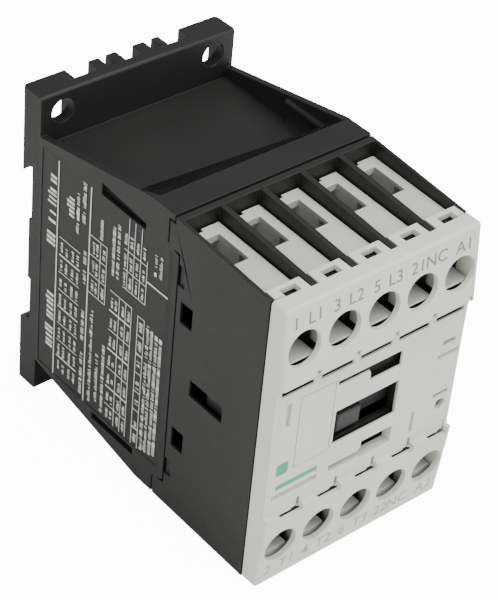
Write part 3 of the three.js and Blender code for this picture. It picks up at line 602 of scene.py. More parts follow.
@dataclass
class FrontCover:
    """Light grey front: two leaning zones with driver holes, and a set-back middle zone with openings."""

    shelf: FinishShelf
    foot: float = COVER_FOOT
    top: float = COVER_TOP
    depth: float = 5.1
    wall: float = 1.2
    side_wall: float = 0.7
    lean: float = 1.5
    middle_set: float = 1.4
    face_low: float = 17.9
    face_high: float = 47.8
    hole_radius: float = 3.65
    tab_depth: float = 7.8
    edge_radius: float = 0.7

    def lean_planes(self, inset: float) -> list[Cut]:
        """Work out the planes of both leaning zones.

        Args:
            inset: How far the planes lie behind the visible faces.

        Returns:
            A point and the outward way of each plane, as y and z.
        """
        rise = self.top - self.face_high
        drop = self.face_low - self.foot
        return [
            ((inset, self.face_high), (-rise, self.lean)),
            ((inset, self.face_low), (-drop, -self.lean)),
        ]

    def shell(self) -> bpy.types.Object:
        """Model the hollow shell with its rounded outer edges."""
        body = side_block((-HALF_W, HALF_W, 0, self.depth, self.foot, self.top), self.lean_planes(0))
        carve(body, block((-BEYOND, BEYOND, -1, self.middle_set, self.face_low, self.face_high)))
        front = self.lean + 0.2

        def outer_rim(middle: Vector, way: Vector) -> bool:
            side = abs(middle.x) > HALF_W - 0.01 and middle.y < front and abs(way.z) > 0.9
            cap = (middle.z > self.top - 0.01 or middle.z < self.foot + 0.01) and middle.y < front
            corner = abs(way.y) > 0.9 and abs(middle.x) > HALF_W - 0.01
            ends = middle.z > self.top - 0.01 or middle.z < self.foot + 0.01
            return side or (cap and abs(way.x) > 0.9) or (corner and ends)

        round_edges(body, self.edge_radius, outer_rim)
        round_edges(
            body,
            0.25,
            lambda middle, way: abs(way.x) > 0.9
            and middle.y < 0.05
            and min(abs(middle.z - self.face_low), abs(middle.z - self.face_high)) < 0.05,
            3,
        )
        inner = HALF_W - self.side_wall
        room = side_block(
            (-inner, inner, self.wall, self.depth + 1, self.foot + self.wall, self.top - self.wall),
            self.lean_planes(self.wall),
        )
        bar = self.middle_set + self.wall
        low, high = self.face_low - self.wall, self.face_high + self.wall
        carve(room, block((-HALF_W, HALF_W, -1, bar, low, high)))
        return carve(body, room, *self.lip_reliefs())

    def lip_reliefs(self) -> list[bpy.types.Object]:
        """Make the cutters that thin the cover behind its slots and its window."""
        front, back = self.middle_set + 0.5, self.depth
        return [
            block((-21.5, 21.5, front, back, self.face_high - 4.0, self.face_high)),
            block((-8.0, 8.0, front, back, MID_Z + 5.3, self.face_high - 3.9)),
            block((-8.0, 8.0, front, back, MID_Z - 6.0, MID_Z + 3.5)),
        ]

    def web(self) -> bpy.types.Object:
        """Model the thick rim round the lower stepped slot."""
        front, back = self.middle_set + 0.5, self.middle_set + 2.2
        return block((-8.1, 7.9, front, back, MID_Z - 12.0, MID_Z - 7.2))

    def tabs(self) -> list[bpy.types.Object]:
        """Model the tongues that reach back over the inserts."""
        half = (PITCH - RIB) / 2 - GAP
        pieces = []
        for pole in range(len(POLE_NAMES)):
            x = pole_x(pole)
            for z0, z1 in ((self.top - self.wall, self.top), (self.foot, self.foot + self.wall)):
                pieces.append(block((x - half, x + half, self.depth - 1, self.tab_depth, z0, z1)))
        return pieces

    def driver_holes(self) -> list[bpy.types.Object]:
        """Make the cutters of the screwdriver holes."""
        return [
            barrel(pole_x(pole), z, -1, 4, self.hole_radius, sides=72)
            for pole in range(len(POLE_NAMES))
            for z in (MID_Z + ROW, MID_Z - ROW)
        ]

    def rib_notches(self) -> list[bpy.types.Object]:
        """Make the cutters of the notches that take the black partitions."""
        half = RIB / 2 + GAP
        return [
            block((x - half, x + half, 4.6, self.tab_depth + 1, z0, z1))
            for x in (pole_x(pole) + PITCH / 2 for pole in range(4))
            for z0, z1 in ((self.top - 3, self.top + 1), (self.foot - 1, self.foot + 3))
        ]

    def opening(
        self, x0: float, x1: float, low: float, high: float, depth: float = 4.0
    ) -> bpy.types.Object:
        """Make the cutter of an opening, its heights given from the centre line."""
        return block((x0, x1, -1, depth, MID_Z + low, MID_Z + high))

    def middle_openings(self) -> list[bpy.types.Object]:
        """Make the cutters of the window, the stepped slots and the small openings beside them."""

        def step_at(x: float, height: float) -> Callable[[Vector, Vector], bool]:
            def picks(middle: Vector, way: Vector) -> bool:
                near = abs(middle.x - x) < 0.1 and abs(middle.z - MID_Z - height) < 0.1
                return near and abs(way.y) > 0.9

            return picks

        upper = fuse(self.opening(-7.9, 7.2, 9.1, 10.1), self.opening(-0.2, 7.2, 6.7, 9.6))
        round_edges(upper, 1.0, step_at(-0.2, 9.1))
        lower = fuse(self.opening(-7.7, 7.4, -11.1, -9.6, 6), self.opening(-0.1, 7.4, -11.5, -7.7, 6))
        round_edges(lower, 1.0, step_at(-0.1, -9.6))
        return [
            self.opening(-7.6, 7.5, -4.6, 3.1),
            upper,
            lower,
            self.opening(17.6, 20.7, 6.0, 7.1),
            self.opening(16.8, 22.0, 3.1, 4.1, 2.4),
            self.opening(17.3, 21.0, -6.2, -5.3),
            self.opening(-19.7, -18.6, 5.4, 10.6, 2.1),
            self.opening(12.1, 13.0, -11.9, -7.0, 2.1),
            self.opening(-20.9, -10.4, -11.2, -10.0, 2.4),
            barrel(19.5, MID_Z - 8.4, -1, 4, 1.2, sides=32),
        ]

    def terminal_slots(self) -> list[bpy.types.Object]:
        """Make the cutters of the slots between the terminal zones and the middle zone."""
        tools = []
        for pole in range(len(POLE_NAMES)):
            x = pole_x(pole)
            right = min(x + 4.0, HALF_W - self.side_wall - 0.2)
            ledge = self.face_low - 1.55
            tools.append(block((x - 3.3, right, -1, 4, self.face_high - 2.6, self.face_high + 0.1)))
            tools.append(block((x + 3.1, right, -1, 4, self.face_high - 1, self.face_high + 1.3)))
            tools.append(block((x - 1.5, right, -1, self.middle_set, ledge, self.face_low + 0.1)))
            tools.append(block((x + 2.3, x + 3.6, -1, 4, ledge, ledge + 0.7)))
            tools.append(block((x + 3.3, right, -1, 4, self.face_low - 0.9, self.face_low + 1.2)))
        return tools

    def plate_recess(self) -> bpy.types.Object:
        """Make the cutter of the marking plate's bed."""
        return block((-16.6, -8.4, -1, self.middle_set + 0.75, MID_Z - 5.35, MID_Z + 10.7))

    def build(self) -> None:
        """Model the cover, its marking plate and its prints."""
        cover = fuse(self.shell(), self.web(), *self.tabs())
        tab_windows = [
            block((pole_x(p) - 1.6, pole_x(p) + 1.9, 4.9, 6.8, z0, z1))
            for p in range(5)
            for z0, z1 in ((self.top - 2, self.top + 1), (self.foot - 1, self.foot + 2))
        ]
        carve(
            cover,
            *self.driver_holes(),
            *self.rib_notches(),
            *tab_windows,
            *self.terminal_slots(),
            *self.middle_openings(),
            self.plate_recess(),
        )
        soften(cover, 0.1)
        grey = self.shelf.get(Finish.COVER)
        deliver(cover, "front_cover_moulding", "housing", grey, "grey_polycarbonate", "front_cover")
        plate = block((-16.45, -8.55, self.middle_set, self.middle_set + 0.6, MID_Z - 5.2, MID_Z + 10.55))
        soften(plate, 0.08)
        label = self.shelf.get(Finish.LABEL)
        deliver(plate, "marking_plate_moulding", "housing", label, "label_plastic", "marking_plate")
        self.prints()

    def prints(self) -> None:
        """Print the terminals' standard marks and a plain colour mark."""
        angle = math.degrees(math.atan2(self.lean, self.top - self.face_high))
        upper = [("1", "L1"), ("3", "L2"), ("5", "L3"), ("21", "NC"), ("", "A1")]
        lower = [("2", "T1"), ("4", "T2"), ("6", "T3"), ("22", "NC"), ("", "A2")]
        rows = (
            ("upper", upper, 59.7, 90 - angle, Finish.DARK_PRINT),
            ("lower", lower, 3.1, 90 + angle, Finish.FAINT_PRINT),
        )
        for row, marks, z, tilt, finish in rows:
            y = self.lean * (z - self.face_high) / (self.top - self.face_high)
            if row == "lower":
                y = self.lean * (self.face_low - z) / (self.face_low - self.foot)
            for pole, words in enumerate(marks):
                first = pole_x(pole) - (3.3 if pole == 3 else 3.0)
                second = pole_x(pole) + (-1.6 if pole == 4 else 0.1 if pole == 3 else 0.4)
                for word, x in zip(words, (first, second)):
                    if word:
                        mark = self.word(word, (x, y, z), tilt)
                        name = f"mark_{row}_{POLE_NAMES[pole]}_{word.lower()}"
                        deliver(mark, name, "housing", self.shelf.get(finish), "label_plastic")
        green = self.shelf.get(Finish.GREEN_PRINT)
        front = self.middle_set - 0.01
        badge = block((-20.6, -17.9, front, self.middle_set + 0.05, 26.9, 29.6))
        round_edges(badge, 0.6, lambda middle, way: abs(way.y) > 0.9, 5)
        deliver(badge, "colour_badge", "housing", green, "label_plastic")
        stripe = block((-20.4, -10.6, front, self.middle_set + 0.05, 23.6, 24.6))
        round_edges(stripe, 0.35, lambda middle, way: abs(way.y) > 0.9, 4)
        deliver(stripe, "colour_stripe", "housing", green, "label_plastic")

    def word(self, text: str, place: tuple[float, float, float], tilt: float) -> bpy.types.Object:
        """Print one short mark.

        Args:
            text: The mark.
            place: Its lower left corner.
            tilt: How it stands, in degrees from lying flat.

        Returns:
            The mark as a thin mesh.
        """
        deselect_all()
        bpy.ops.object.text_add(location=place, rotation=(math.radians(tilt), 0, 0))
        mark = bpy.context.object
        mark.data.body = text
        mark.data.size = 3.5
        mark.data.space_character = 1.04
        mark.data.offset = 0.03
        mark.data.extrude = 0.012
        mark.data.resolution_u = 3
        take(mark)
        bpy.ops.object.convert(target="MESH")
        bpy.ops.object.transform_apply(location=True, rotation=True, scale=True)
        return mark


# ---------------------------------------------------------------- terminals


@dataclass
class Terminals:
    """Ten clamps, each a light grey insert with its wire entry, a screw and a clamp cage.

    Each kind of piece is drawn once for the middle upper terminal and copied to its places.
    """

    shelf: FinishShelf
    half: float = 3.6
    front: float = 3.0
    leaning_front: float = 1.79  # the upper inserts reach forward to the leaning cover
    back: float = 28.5
    low: float = 51.7
    high: float = 62.0
    rise: float = 0.7

    def settle(self, piece: bpy.types.Object, pole: int, upper: bool) -> None:
        """Move a copy to its terminal; the lower row is mirrored in height.

        Args:
            piece: The copy.
            pole: Its pole.
            upper: Whether it belongs to the upper row.
        """
        if not upper:
            take(piece)
            bpy.ops.transform.mirror(constraint_axis=(False, False, True), center_override=(0, 0, MID_Z))
            bpy.ops.object.transform_apply(location=True, rotation=True, scale=True)
            with edit_mode(piece, "FACE"):
                bpy.ops.mesh.select_all(action="SELECT")
                bpy.ops.mesh.normals_make_consistent(inside=False)
        piece.data.transform(Matrix.Translation((pole_x(pole), 0, 0)))

    def insert(self, upper: bool) -> bpy.types.Object:
        """Model the insert; the upper row's front follows the leaning cover."""
        row = MID_Z + ROW
        front = self.leaning_front if upper else self.front
        body = block((-self.half, self.half, front, self.back, self.low, self.high + self.rise))
        trim(body, ((self.front, self.high), (-self.rise, self.back - self.front)))
        if upper:
            trim(body, ((front, self.low), (-13.9, 1.5)))
        carve(
            body,
            block((-2.95, self.half + 1, 0, 8.4, row - 2.95, row + 2.95)),
            block((-self.half - 1, self.half + 1, 5.1, 7.7, self.high - 1.3, self.high + 2)),
            barrel(0, row, 8, 11, 2.2, sides=24),
            block((-2.95, 2.95, 9.2, 26.9, row - 2.8, row + 2.8)),
            block((-self.half - 1, 1.5, 17.9, 25.8, row + 1, self.high + 2)),
            block((-2.9, 1.5, 17.9, 26.9, row + 1, self.high - 0.9)),
            block((1.4, 2.5, 17.9, 20.4, row + 1, self.high - 0.5)),
            block((-2.15, 2.15, 15.9, 17.7, self.low - 1, row)),
            block((-self.half - 1, -0.4, self.back - 0.7, self.back + 1, self.high - 1, self.high + 2)),
            block((-self.half - 1, -2.6, self.back - 1.5, self.back + 1, self.high - 0.6, self.high + 2)),
        )
        soften(body, 0.14, 3)
        return body

    def screw(self) -> bpy.types.Object:
        """Model the combination-head clamp screw."""
        z = MID_Z + ROW
        head = barrel(0, z, 5.6, 8.1, 2.8, sides=48)
        round_edges(head, 0.35, lambda middle, way: middle.y < 5.65, 3)
        fuse(head, barrel(0, z, 7.9, 15.9, 1.75, sides=32))
        carve(
            head,
            block((-2.3, 2.3, 4.6, 7.0, z - 0.42, z + 0.42)),
            block((-0.42, 0.42, 4.6, 7.2, z - 1.7, z + 1.7)),
            barrel(0, z, 4.6, 6.5, 1.5, 0.5, sides=24),
        )
        soften(head, 0.06)
        return head

    def cage(self) -> bpy.types.Object:
        """Model the bent clamp cage."""
        z = MID_Z + ROW
        body = block((-2.7, 2.7, 14.1, 25.8, z - 2.4, z + 2.4))
        round_edges(body, 0.7, lambda middle, way: abs(way.z) > 0.9, 4)
        carve(
            body,
            block((-1.9, 1.9, 15.6, 24.8, z - 4, z + 4)),
            barrel(0, z, 13, 17, 1.95, sides=32),
        )
        soften(body, 0.08)
        return body

    def build(self) -> None:
        """Model each kind of piece once and copy it to its terminals."""
        inserts = {upper: self.insert(upper) for upper in (True, False)}
        screw, cage = self.screw(), self.cage()
        grey, zinc = self.shelf.get(Finish.INSERT), self.shelf.get(Finish.ZINC)
        for upper in (True, False):
            for pole, pole_name in enumerate(POLE_NAMES):
                tag = f"{'upper' if upper else 'lower'}_{pole_name}"
                kinds = (
                    (inserts[upper], f"insert_{tag}", "housing", grey, "insert_plastic", "terminal_insert"),
                    (screw, f"screw_{tag}", f"screw_{tag}", zinc, "zinc_plated_steel", "terminal_screw"),
                    (cage, f"cage_{tag}", f"cage_{tag}", zinc, "zinc_plated_steel", "clamp_cage"),
                )
                for master, name, body, finish, slot, node in kinds:
                    piece = duplicate(master)
                    self.settle(piece, pole, upper)
                    deliver(piece, name, body, finish, slot, f"{node}_{tag}")
        for master in (*inserts.values(), screw, cage):
            bpy.data.objects.remove(master, do_unlink=True)


# ---------------------------------------------------------------- black housings


@dataclass
class ContactHousing:
    """Black housing behind the cover: chambers with partitions, a front wall, and side walls with windows."""

    shelf: FinishShelf
    front: float = 5.4
    seam: float = 28.6
    step: float = 31.7
    seam_top: float = 30.2
    shoulder: float = 65.8
    wall: float = 0.7
    floor: float = 17.8
    floor_t: float = 1.2
    apron_front: float = 2.9
    apron_t: float = 1.2

    def apron(self) -> bpy.types.Object:
        """Model the front wall behind the cover, open at the window and at the slot below it."""
        half = HALF_W - self.wall - GAP
        reach = self.floor + self.floor_t
        back = self.apron_front + self.apron_t
        wall = block((-half, half, self.apron_front, back, MID_Z - reach, MID_Z + reach))
        floors = [
            block((-half, half, self.apron_front, 12, MID_Z + low, MID_Z + high))
            for low, high in ((self.floor, reach), (-reach, -self.floor))
        ]
        carve(
            fuse(wall, *floors),
            block((-8.4, 8.2, 0, 5, MID_Z - 12.3, MID_Z - 6.9)),
            block((-7.9, 7.9, 0, 5, MID_Z - 5.0, MID_Z + 3.5)),
        )
        return wall

    def build(self) -> None:
        """Model the housing."""
        crest = COVER_TOP - 0.1
        top_cut = ((self.front, crest), (crest - self.shoulder, self.seam_top - self.front))
        low_cut = ((self.front, COVER_FOOT), (0.5, -(self.step - self.front)))
        body = side_block((-HALF_W, HALF_W, self.front, self.step, COVER_FOOT, 67), [top_cut, low_cut])
        corner_back = self.step + 1
        upper = side_block(
            (-BEYOND, BEYOND, self.seam, corner_back, 57, 60.5), [((self.seam, 58.7), (3.1, 1.2))]
        )
        lower = side_block(
            (-BEYOND, BEYOND, self.seam, corner_back, 4, 8), [((self.seam, 6.1), (3.1, -1.2))]
        )
        inner = HALF_W - self.wall
        chamber_back = 28.8
        floor_high = MID_Z + self.floor
        floor_low = MID_Z - self.floor
        carve(
            body,
            block((-BEYOND, BEYOND, self.seam, corner_back, 5.9, 58.9)),
            upper,
            lower,
            block((-BEYOND, BEYOND, self.step - 1.5, corner_back, 64.3, 68)),
            block((-inner, inner, self.front - 1, chamber_back, floor_high + self.floor_t, 68)),
            block((-inner, inner, self.front - 1, chamber_back, -1, floor_low - self.floor_t)),
            block((-inner, inner, self.front - 1, corner_back, floor_low, floor_high)),
            block((-inner, inner, self.seam_top, corner_back, floor_low - 12, floor_high + 13.4)),
            block((-inner, inner, self.seam_top, corner_back, -1, 3)),
        )
        ribs = []
        for pole in range(4):
            left = pole_x(pole) + PITCH / 2 - RIB / 2
            for z0, z1, cut in ((floor_high + 0.5, 67, top_cut), (COVER_FOOT, floor_low - 0.5, low_cut)):
                ribs.append(side_block((left, left + RIB, 4.9, chamber_back + 0.5, z0, z1), [cut]))
        snap_bars = [
            block((-inner - 0.2, inner + 0.2, self.front, 7.4, MID_Z + low, MID_Z + low + 1.6))
            for low in (28.6, -30.2)
        ]
        fuse(body, *ribs, *snap_bars, self.apron())
        slots = []
        for pole in range(5):
            x = pole_x(pole)
            for z0, z1 in ((floor_high - 1, floor_high + 2.2), (floor_low - 2.2, floor_low + 1)):
                slots.append(block((x - 2.2, x + 2.2, 15.8, 17.8, z0, z1)))
        windows = [
            (24.2, 27.4, 45.0, 49.4, 0.8),
            (14.5, 23.4, 30.9, 34.4, 0.8),
            (24.1, 27.3, 16.4, 20.8, 0.8),
            (26.9, 29.6, 52.4, 56.7, 0.45),
            (26.9, 29.6, 8.6, 12.4, 0.45),
        ]
        for y0, y1, z0, z1, depth in windows:
            left = block((-BEYOND, depth - HALF_W, y0, y1, z0, z1))
            right = block((HALF_W - depth, BEYOND, y0, y1, z0, z1))
            carve(body, left, right)
        carve(body, *slots)
        soften(body, 0.14)
        black = self.shelf.get(Finish.HOUSING)
        deliver(body, "contact_housing_moulding", "housing", black, "black_polyamide", "contact_housing")


@dataclass
class BaseHousing:
    """Black base: sloping side walls, sills and trays, fixing flange, rail seat and the printed left side."""

    shelf: FinishShelf
    front: float = 32.0
    seam: float = 28.9
    flange: float = 69.2
    sill_top: float = 66.1
    sill_back: float = 36.5
    knee: tuple[float, float] = (40.5, 65.4)
    heel: tuple[float, float] = (69.7, 59.8)
    floor: float = 57.8
    wall: float = 1.5
    middle: float = 33.7
    height: float = 68.0
    seat: float = 71.5
    rail_foot: float = 16.4
    rail_head: float = 51.8

    def mirrored(self, cut: Cut) -> Cut:
        """Mirror a cut about the base's middle height."""
        (y, z), (out_y, out_z) = cut
        return (y, 2 * self.middle - z), (out_y, -out_z)

    def shell(self) -> bpy.types.Object:
        """Model walls, sills and trays."""
        (knee_y, knee_z), (heel_y, heel_z) = self.knee, self.heel
        first = ((self.sill_back, self.sill_top), (self.sill_top - knee_z, knee_y - self.sill_back))
        second = (self.knee, (knee_z - heel_z, heel_y - knee_y))
        cuts = [first, second, self.mirrored(first), self.mirrored(second)]
        foot = 2 * self.middle - self.sill_top
        body = side_block((-HALF_W, HALF_W, self.seam, 70, foot, self.sill_top), cuts)
        inner = HALF_W - self.wall
        low_floor = 2 * self.middle - self.floor
        corner_high = side_block(
            (-BEYOND, BEYOND, 27, self.front, 58, 68), [((self.seam, 58.4), (1.2, -3.1))]
        )
        corner_low = side_block(
            (-BEYOND, BEYOND, 27, self.front, -1, 6.8), [((self.seam, 6.4), (1.2, 3.1))]
        )
        carve(
            body,
            corner_high,
            corner_low,
            block((-inner, inner, self.sill_back, self.flange, self.floor, 69)),
            block((-inner, inner, self.sill_back, self.flange, -1, low_floor)),
            block((-inner, inner, 27, self.flange, low_floor + self.wall, self.floor - self.wall)),
        )
        lips = [
            block((-HALF_W, HALF_W, 30.5, self.sill_back, 64.6, self.sill_top)),
            block((-21.5, 21.5, 30.5, self.sill_back, foot, 4.9)),
        ]
        ledges = []
        for side in (-1, 1):
            x0, x1 = sorted((side * (inner + 0.3), side * (inner - 0.9)))
            ledge = block((x0, x1, 40, 51.5, 61.2, 62.6))
            round_edges(ledge, 0.6, lambda middle, way: abs(middle.x) < inner - 0.8, 4)
            ramp = block((x0, x1, 42.5, 50.5, self.floor - 0.2, 60.4))
            slice_off(ramp, Vector((side * inner, 0, 60.4)), Vector((-side * 2.6, 0, 0.9)))
            ledges += [ledge, ramp]
        return fuse(body, *lips, *ledges)

    def flange_plate(self) -> bpy.types.Object:
        """Model the fixing flange with its rounded front rim."""
        plate = block((-HALF_W, HALF_W, self.flange, DEPTH, 0, self.height))
        round_edges(
            plate,
            0.6,
            lambda middle, way: (middle.z > self.height - 0.01 or middle.z < 0.01)
            and abs(way.x) > 0.9
            and middle.y < self.flange + 0.1,
        )
        round_edges(plate, 0.9, lambda middle, way: abs(way.z) > 0.9 and middle.y > DEPTH - 0.1)
        round_edges(
            plate,
            0.5,
            lambda middle, way: abs(way.y) > 0.9 and abs(middle.x) > HALF_W - 0.01,
        )
        return plate

    def rail_seat(self) -> list[bpy.types.Object]:
        """Make the cutters of the rail's seat."""
        lip = self.seat + 1.3
        upper = side_block(
            (-BEYOND, BEYOND, self.seat, DEPTH + 1, self.rail_foot, self.rail_head),
            [((lip, self.rail_head), (2.6, 2.2))],
        )
        lower = side_block(
            (-BEYOND, BEYOND, lip, DEPTH + 1, 14, 17),
            [((lip, self.rail_foot), (-2.2, -3.2))],
        )
        return [upper, lower]

    def reliefs(self) -> list[bpy.types.Object]:
        """Make the cutters between the fixing blocks and the stiffening ribs."""
        bays = ((-13.2, -7.9), (-5.6, -3.9), (-1.6, 2.3), (4.9, 6.7), (8.4, 13.2))
        tools = []
        for x0, x1 in bays:
            tools.append(block((x0, x1, DEPTH - 3.2, DEPTH + 1, self.rail_head + 3.2, 69)))
            tools.append(block((x0, x1, DEPTH - 3.2, DEPTH + 1, -1, 2.2)))
        return tools

    def wall_slots(self) -> list[bpy.types.Object]:
        """Make the cutters of the finger slots in the side walls."""
        tools = []
        for side in (-1, 1):
            x0, x1 = sorted((side * (HALF_W + 1), side * (HALF_W - 1.1)))
            high = side_block(
                (x0, x1, 38.1, 50.7, 57.9, 61.2),
                [((38.1, 59.6), (-0.09, 1)), ((38.1, 58.35), (0.0, -1))],
            )
            tools.append(high)
            tools.append(block((x0, x1, 38.0, 50.7, 5.9, 7.3)))
        return tools

    def label_field(self) -> bpy.types.Object:
        """Make the cutter of the shallow field under the left side's print."""
        return side_block(
            (-HALF_W - 1, -HALF_W + 0.1, 31.2, 68.4, 8.2, 62.0),
            [((31.2, 64.4), (6.3, 37.2)), ((50.0, 58.2), (0, 1))],
        )

    def build(self) -> None:
        """Model the base and carve the shallow field under its left side's print."""
        body = fuse(self.shell(), self.flange_plate())
        holes = [
            barrel(side * FIX_HOLE_X, z, self.flange - 1, DEPTH + 1, 2.5, sides=48)
            for side in (-1, 1)
            for z in (63.8, self.height - 63.8)
        ]
        channel = [
            block((-7.65, 7.65, 70.3, 71.95, -1, self.rail_foot + 0.6)),
            block((-6.35, 6.35, 70.3, DEPTH + 1, -1, self.rail_foot + 0.6)),
        ]
        pockets = [
            block((x - 3.7, x + 3.7, self.flange + 2.4, DEPTH + 1, z0, z1))
            for x in (-FIX_HOLE_X, FIX_HOLE_X)
            for z0, z1 in ((58.2, self.height - 1.2), (1.2, 7.6))
        ]
        carve(body, *holes, *pockets, *self.rail_seat(), *self.reliefs(), *channel, *self.wall_slots())
        pad_low, pad_high = self.rail_foot + 9.6, self.rail_foot + 23.6
        rail_pad = block((-HALF_W, HALF_W, self.seat - 0.5, self.seat + 0.8, pad_low, pad_high))
        latch_peg = block((-1.7, 1.7, 69.8, 73.5, 6.4, 8.4))
        fuse(body, rail_pad, latch_peg)
        soften(body, 0.12)
        carve(body, self.label_field())
        black = self.shelf.get(Finish.HOUSING)
        deliver(body, "base_housing_moulding", "housing", black, "black_polyamide", "base_housing")


@dataclass
class SidePrint:
    """White print on the left side: frames and rows of unreadable marks, as small print looks."""

    shelf: FinishShelf
    face: float = -HALF_W
    cell: float = 0.17
    seed: int = 7

    def rules(self) -> list[Strip]:
        """List the ruled lines."""
        line = 0.22
        lines = [(63.2, 63.5, 8.3, 58.1), (53.4, 53.7, 8.2, 58.0)]
        for k in range(8):
            z = 41.6 - 4.02 * k
            lines.append((56.2, 62.5, z, z + line))
        for z in (47.7, 43.4, 39.0, 34.8):
            lines.append((48.4, 53.4, z, z + line))
        lines.append((48.3, 48.5, 34.8, 47.9))
        lines.append((50.2, 50.4, 34.8, 47.6))
        for z in (39.2, 34.7, 30.2, 25.7, 21.2, 16.7, 12.3):
            lines.append((40.5, 46.9, z, z + line))
        for y in (44.0, 42.2, 40.4):
            lines.append((y, y + line, 8.4, 39.2))
        for z in (50.7, 46.3, 42.2):
            lines.append((36.9, 43.6, z, z + line))
        for y in (42.3, 40.6, 38.7):
            lines.append((y, y + line, 42.3, 57.9))
        lines.append((36.9, 37.1, 42.3, 52.0))
        for z in (38.7, 34.4, 30.1, 25.8, 21.4, 17.0, 12.6):
            lines.append((36.8, 38.7, z, z + line))
        for y in (38.6, 36.7):
            lines.append((y, y + line, 8.3, 38.8))
        lines.append((30.9, 37.0, 47.6, 47.9))
        return lines

    def texts(self) -> list[Strip]:
        """List the rows of small marks; a row runs along z."""
        rows = [
            (63.9, 66.3, 38.4, 54.2),
            (63.9, 66.6, 14.0, 27.6),
            (58.4, 60.6, 48.2, 52.6),
            (56.9, 57.7, 45.6, 54.6),
            (54.3, 55.2, 35.4, 43.1),
            (54.3, 55.2, 22.4, 29.6),
            (54.3, 55.2, 9.4, 19.3),
            (55.0, 55.9, 49.0, 58.0),
            (51.5, 52.4, 9.4, 31.4),
            (49.5, 50.3, 10.4, 22.2),
            (47.6, 48.5, 9.4, 25.6),
            (46.1, 47.0, 42.9, 53.8),
            (44.7, 45.6, 42.9, 54.8),
            (49.6, 50.6, 48.6, 53.0),
            (34.3, 35.1, 50.3, 54.8),
            (32.8, 33.6, 50.6, 55.6),
        ]
        for y in (35.4, 34.2, 33.0, 31.8):
            rows.append((y - 0.1, y + 0.75, 8.5 + (36.6 - y) * 0.3, 38.6 - (36.6 - y) * 0.2))
        for k in range(8):
            z = 41.6 - 4.02 * k
            for y in (61.4, 59.9, 58.0, 56.5):
                rows.append((y, y + 0.75, z + 0.7 - 4.02, z + 3.2 - 4.02))
        for z in (43.4, 39.0, 34.8):
            for y in (51.9, 50.8, 48.9):
                rows.append((y, y + 0.75, z + 0.8, z + 3.4))
        for z in (34.7, 30.2, 25.7, 21.2, 16.7, 12.3, 8.4):
            for y in (45.9, 44.7, 42.7, 41.0):
                rows.append((y, y + 0.7, z + 0.9, z + 3.2))
            rows.append((37.3, 38.2, z + 1.0, z + 3.0))
        for z in (46.3, 42.2, 51.0):
            for y in (42.8, 41.2, 39.4, 37.6):
                rows.append((y, y + 0.75, z + 0.7, z + 3.4))
        return rows

    def covered(self, y: float, z: float, texts: list[Strip]) -> bool:
        """Say whether ink lies at a place.

        Args:
            y: Depth of the place.
            z: Height of the place.
            texts: The rows of small marks.

        Returns:
            True where there is ink.
        """
        if any(y0 <= y <= y1 and z0 <= z <= z1 for y0, y1, z0, z1 in self.rules()):
            return True
        for y0, y1, z0, z1 in texts:
            if y0 <= y <= y1 and z0 <= z <= z1:
                size = y1 - y0
                tick = int((z - z0) / (size * 0.42))
                across = (z - z0) / (size * 0.42) - tick
                up = (y - y0) / size
                chance = random.Random(self.seed * 7919 + tick * 31 + int(y0 * 13) + int(z0 * 7))
                height = chance.choice((0.0, 0.72, 1.0, 1.0, 0.72, 0.86))
                return across < 0.62 and up < height
        return False

    def build(self) -> None:
        """Print the side: a fine grid whose unprinted cells are taken away."""
        y0, y1, z0, z1 = 30.6, 67.4, 7.8, 58.4
        columns = round((y1 - y0) / self.cell)
        lines = round((z1 - z0) / self.cell)
        deselect_all()
        bpy.ops.mesh.primitive_grid_add(
            x_subdivisions=lines,
            y_subdivisions=columns,
            size=1,
            location=(self.face, (y0 + y1) / 2, (z0 + z1) / 2),
            rotation=(0, -math.pi / 2, 0),
        )
        sheet = bpy.context.object
        sheet.scale = (z1 - z0, y1 - y0, 1)
        bpy.ops.object.transform_apply(location=True, rotation=True, scale=True)
        texts = self.texts()
        with edit_mode(sheet, "FACE") as mesh:
            for face in mesh.faces:
                middle = face.calc_center_median()
                face.select_set(not self.covered(middle.y, middle.z, texts))
            mesh.select_flush_mode()
            bpy.ops.mesh.delete(type="FACE")
            bpy.ops.mesh.select_all(action="SELECT")
            bpy.ops.mesh.dissolve_limited(angle_limit=math.radians(1))
        take(sheet)
        ink = sheet.modifiers.new("ink", "SOLIDIFY")
        ink.thickness = 0.02
        ink.offset = 0
        bpy.ops.object.modifier_apply(modifier=ink.name)
        white = self.shelf.get(Finish.WHITE_PRINT)
        deliver(sheet, "side_print", "housing", white, "label_plastic")


# ---------------------------------------------------------------- moving pieces and the inside


@dataclass
class Carrier:
    """Dark carrier whose rounded tongue shows in the cover's window."""

    shelf: FinishShelf

    def build(self) -> None:
        """Model the carrier."""
        low, high = MID_Z - 3.7, MID_Z + 3.7
        body = block((-20.8, 11.5 + 0.55, 4.75, 20.5, low, high))
        foot = block((-8, 8, 20.0, 23.9, MID_Z - 8, MID_Z + 8))
        tongue = block((-5.9, -0.1, 2.6, 5.5, MID_Z - 3.7, MID_Z + 0.3))
        round_edges(tongue, 0.5, lambda middle, way: middle.y < 2.7, 4)
        fuse(body, foot, tongue)
        rooms = []
        for pole in range(4):
            x = pole_x(pole)
            y0, y1 = (11.7, 18.95) if pole == 3 else (5.55, 11.55)
            rooms.append(block((x - 2.25, x + 2.25, y0, y1, low - 1, high + 1)))
        carve(body, *rooms)
        soften(body, 0.15)
        dark = self.shelf.get(Finish.CARRIER)
        deliver(body, "contact_carrier_moulding", "carrier", dark, "carrier_plastic", "contact_carrier")


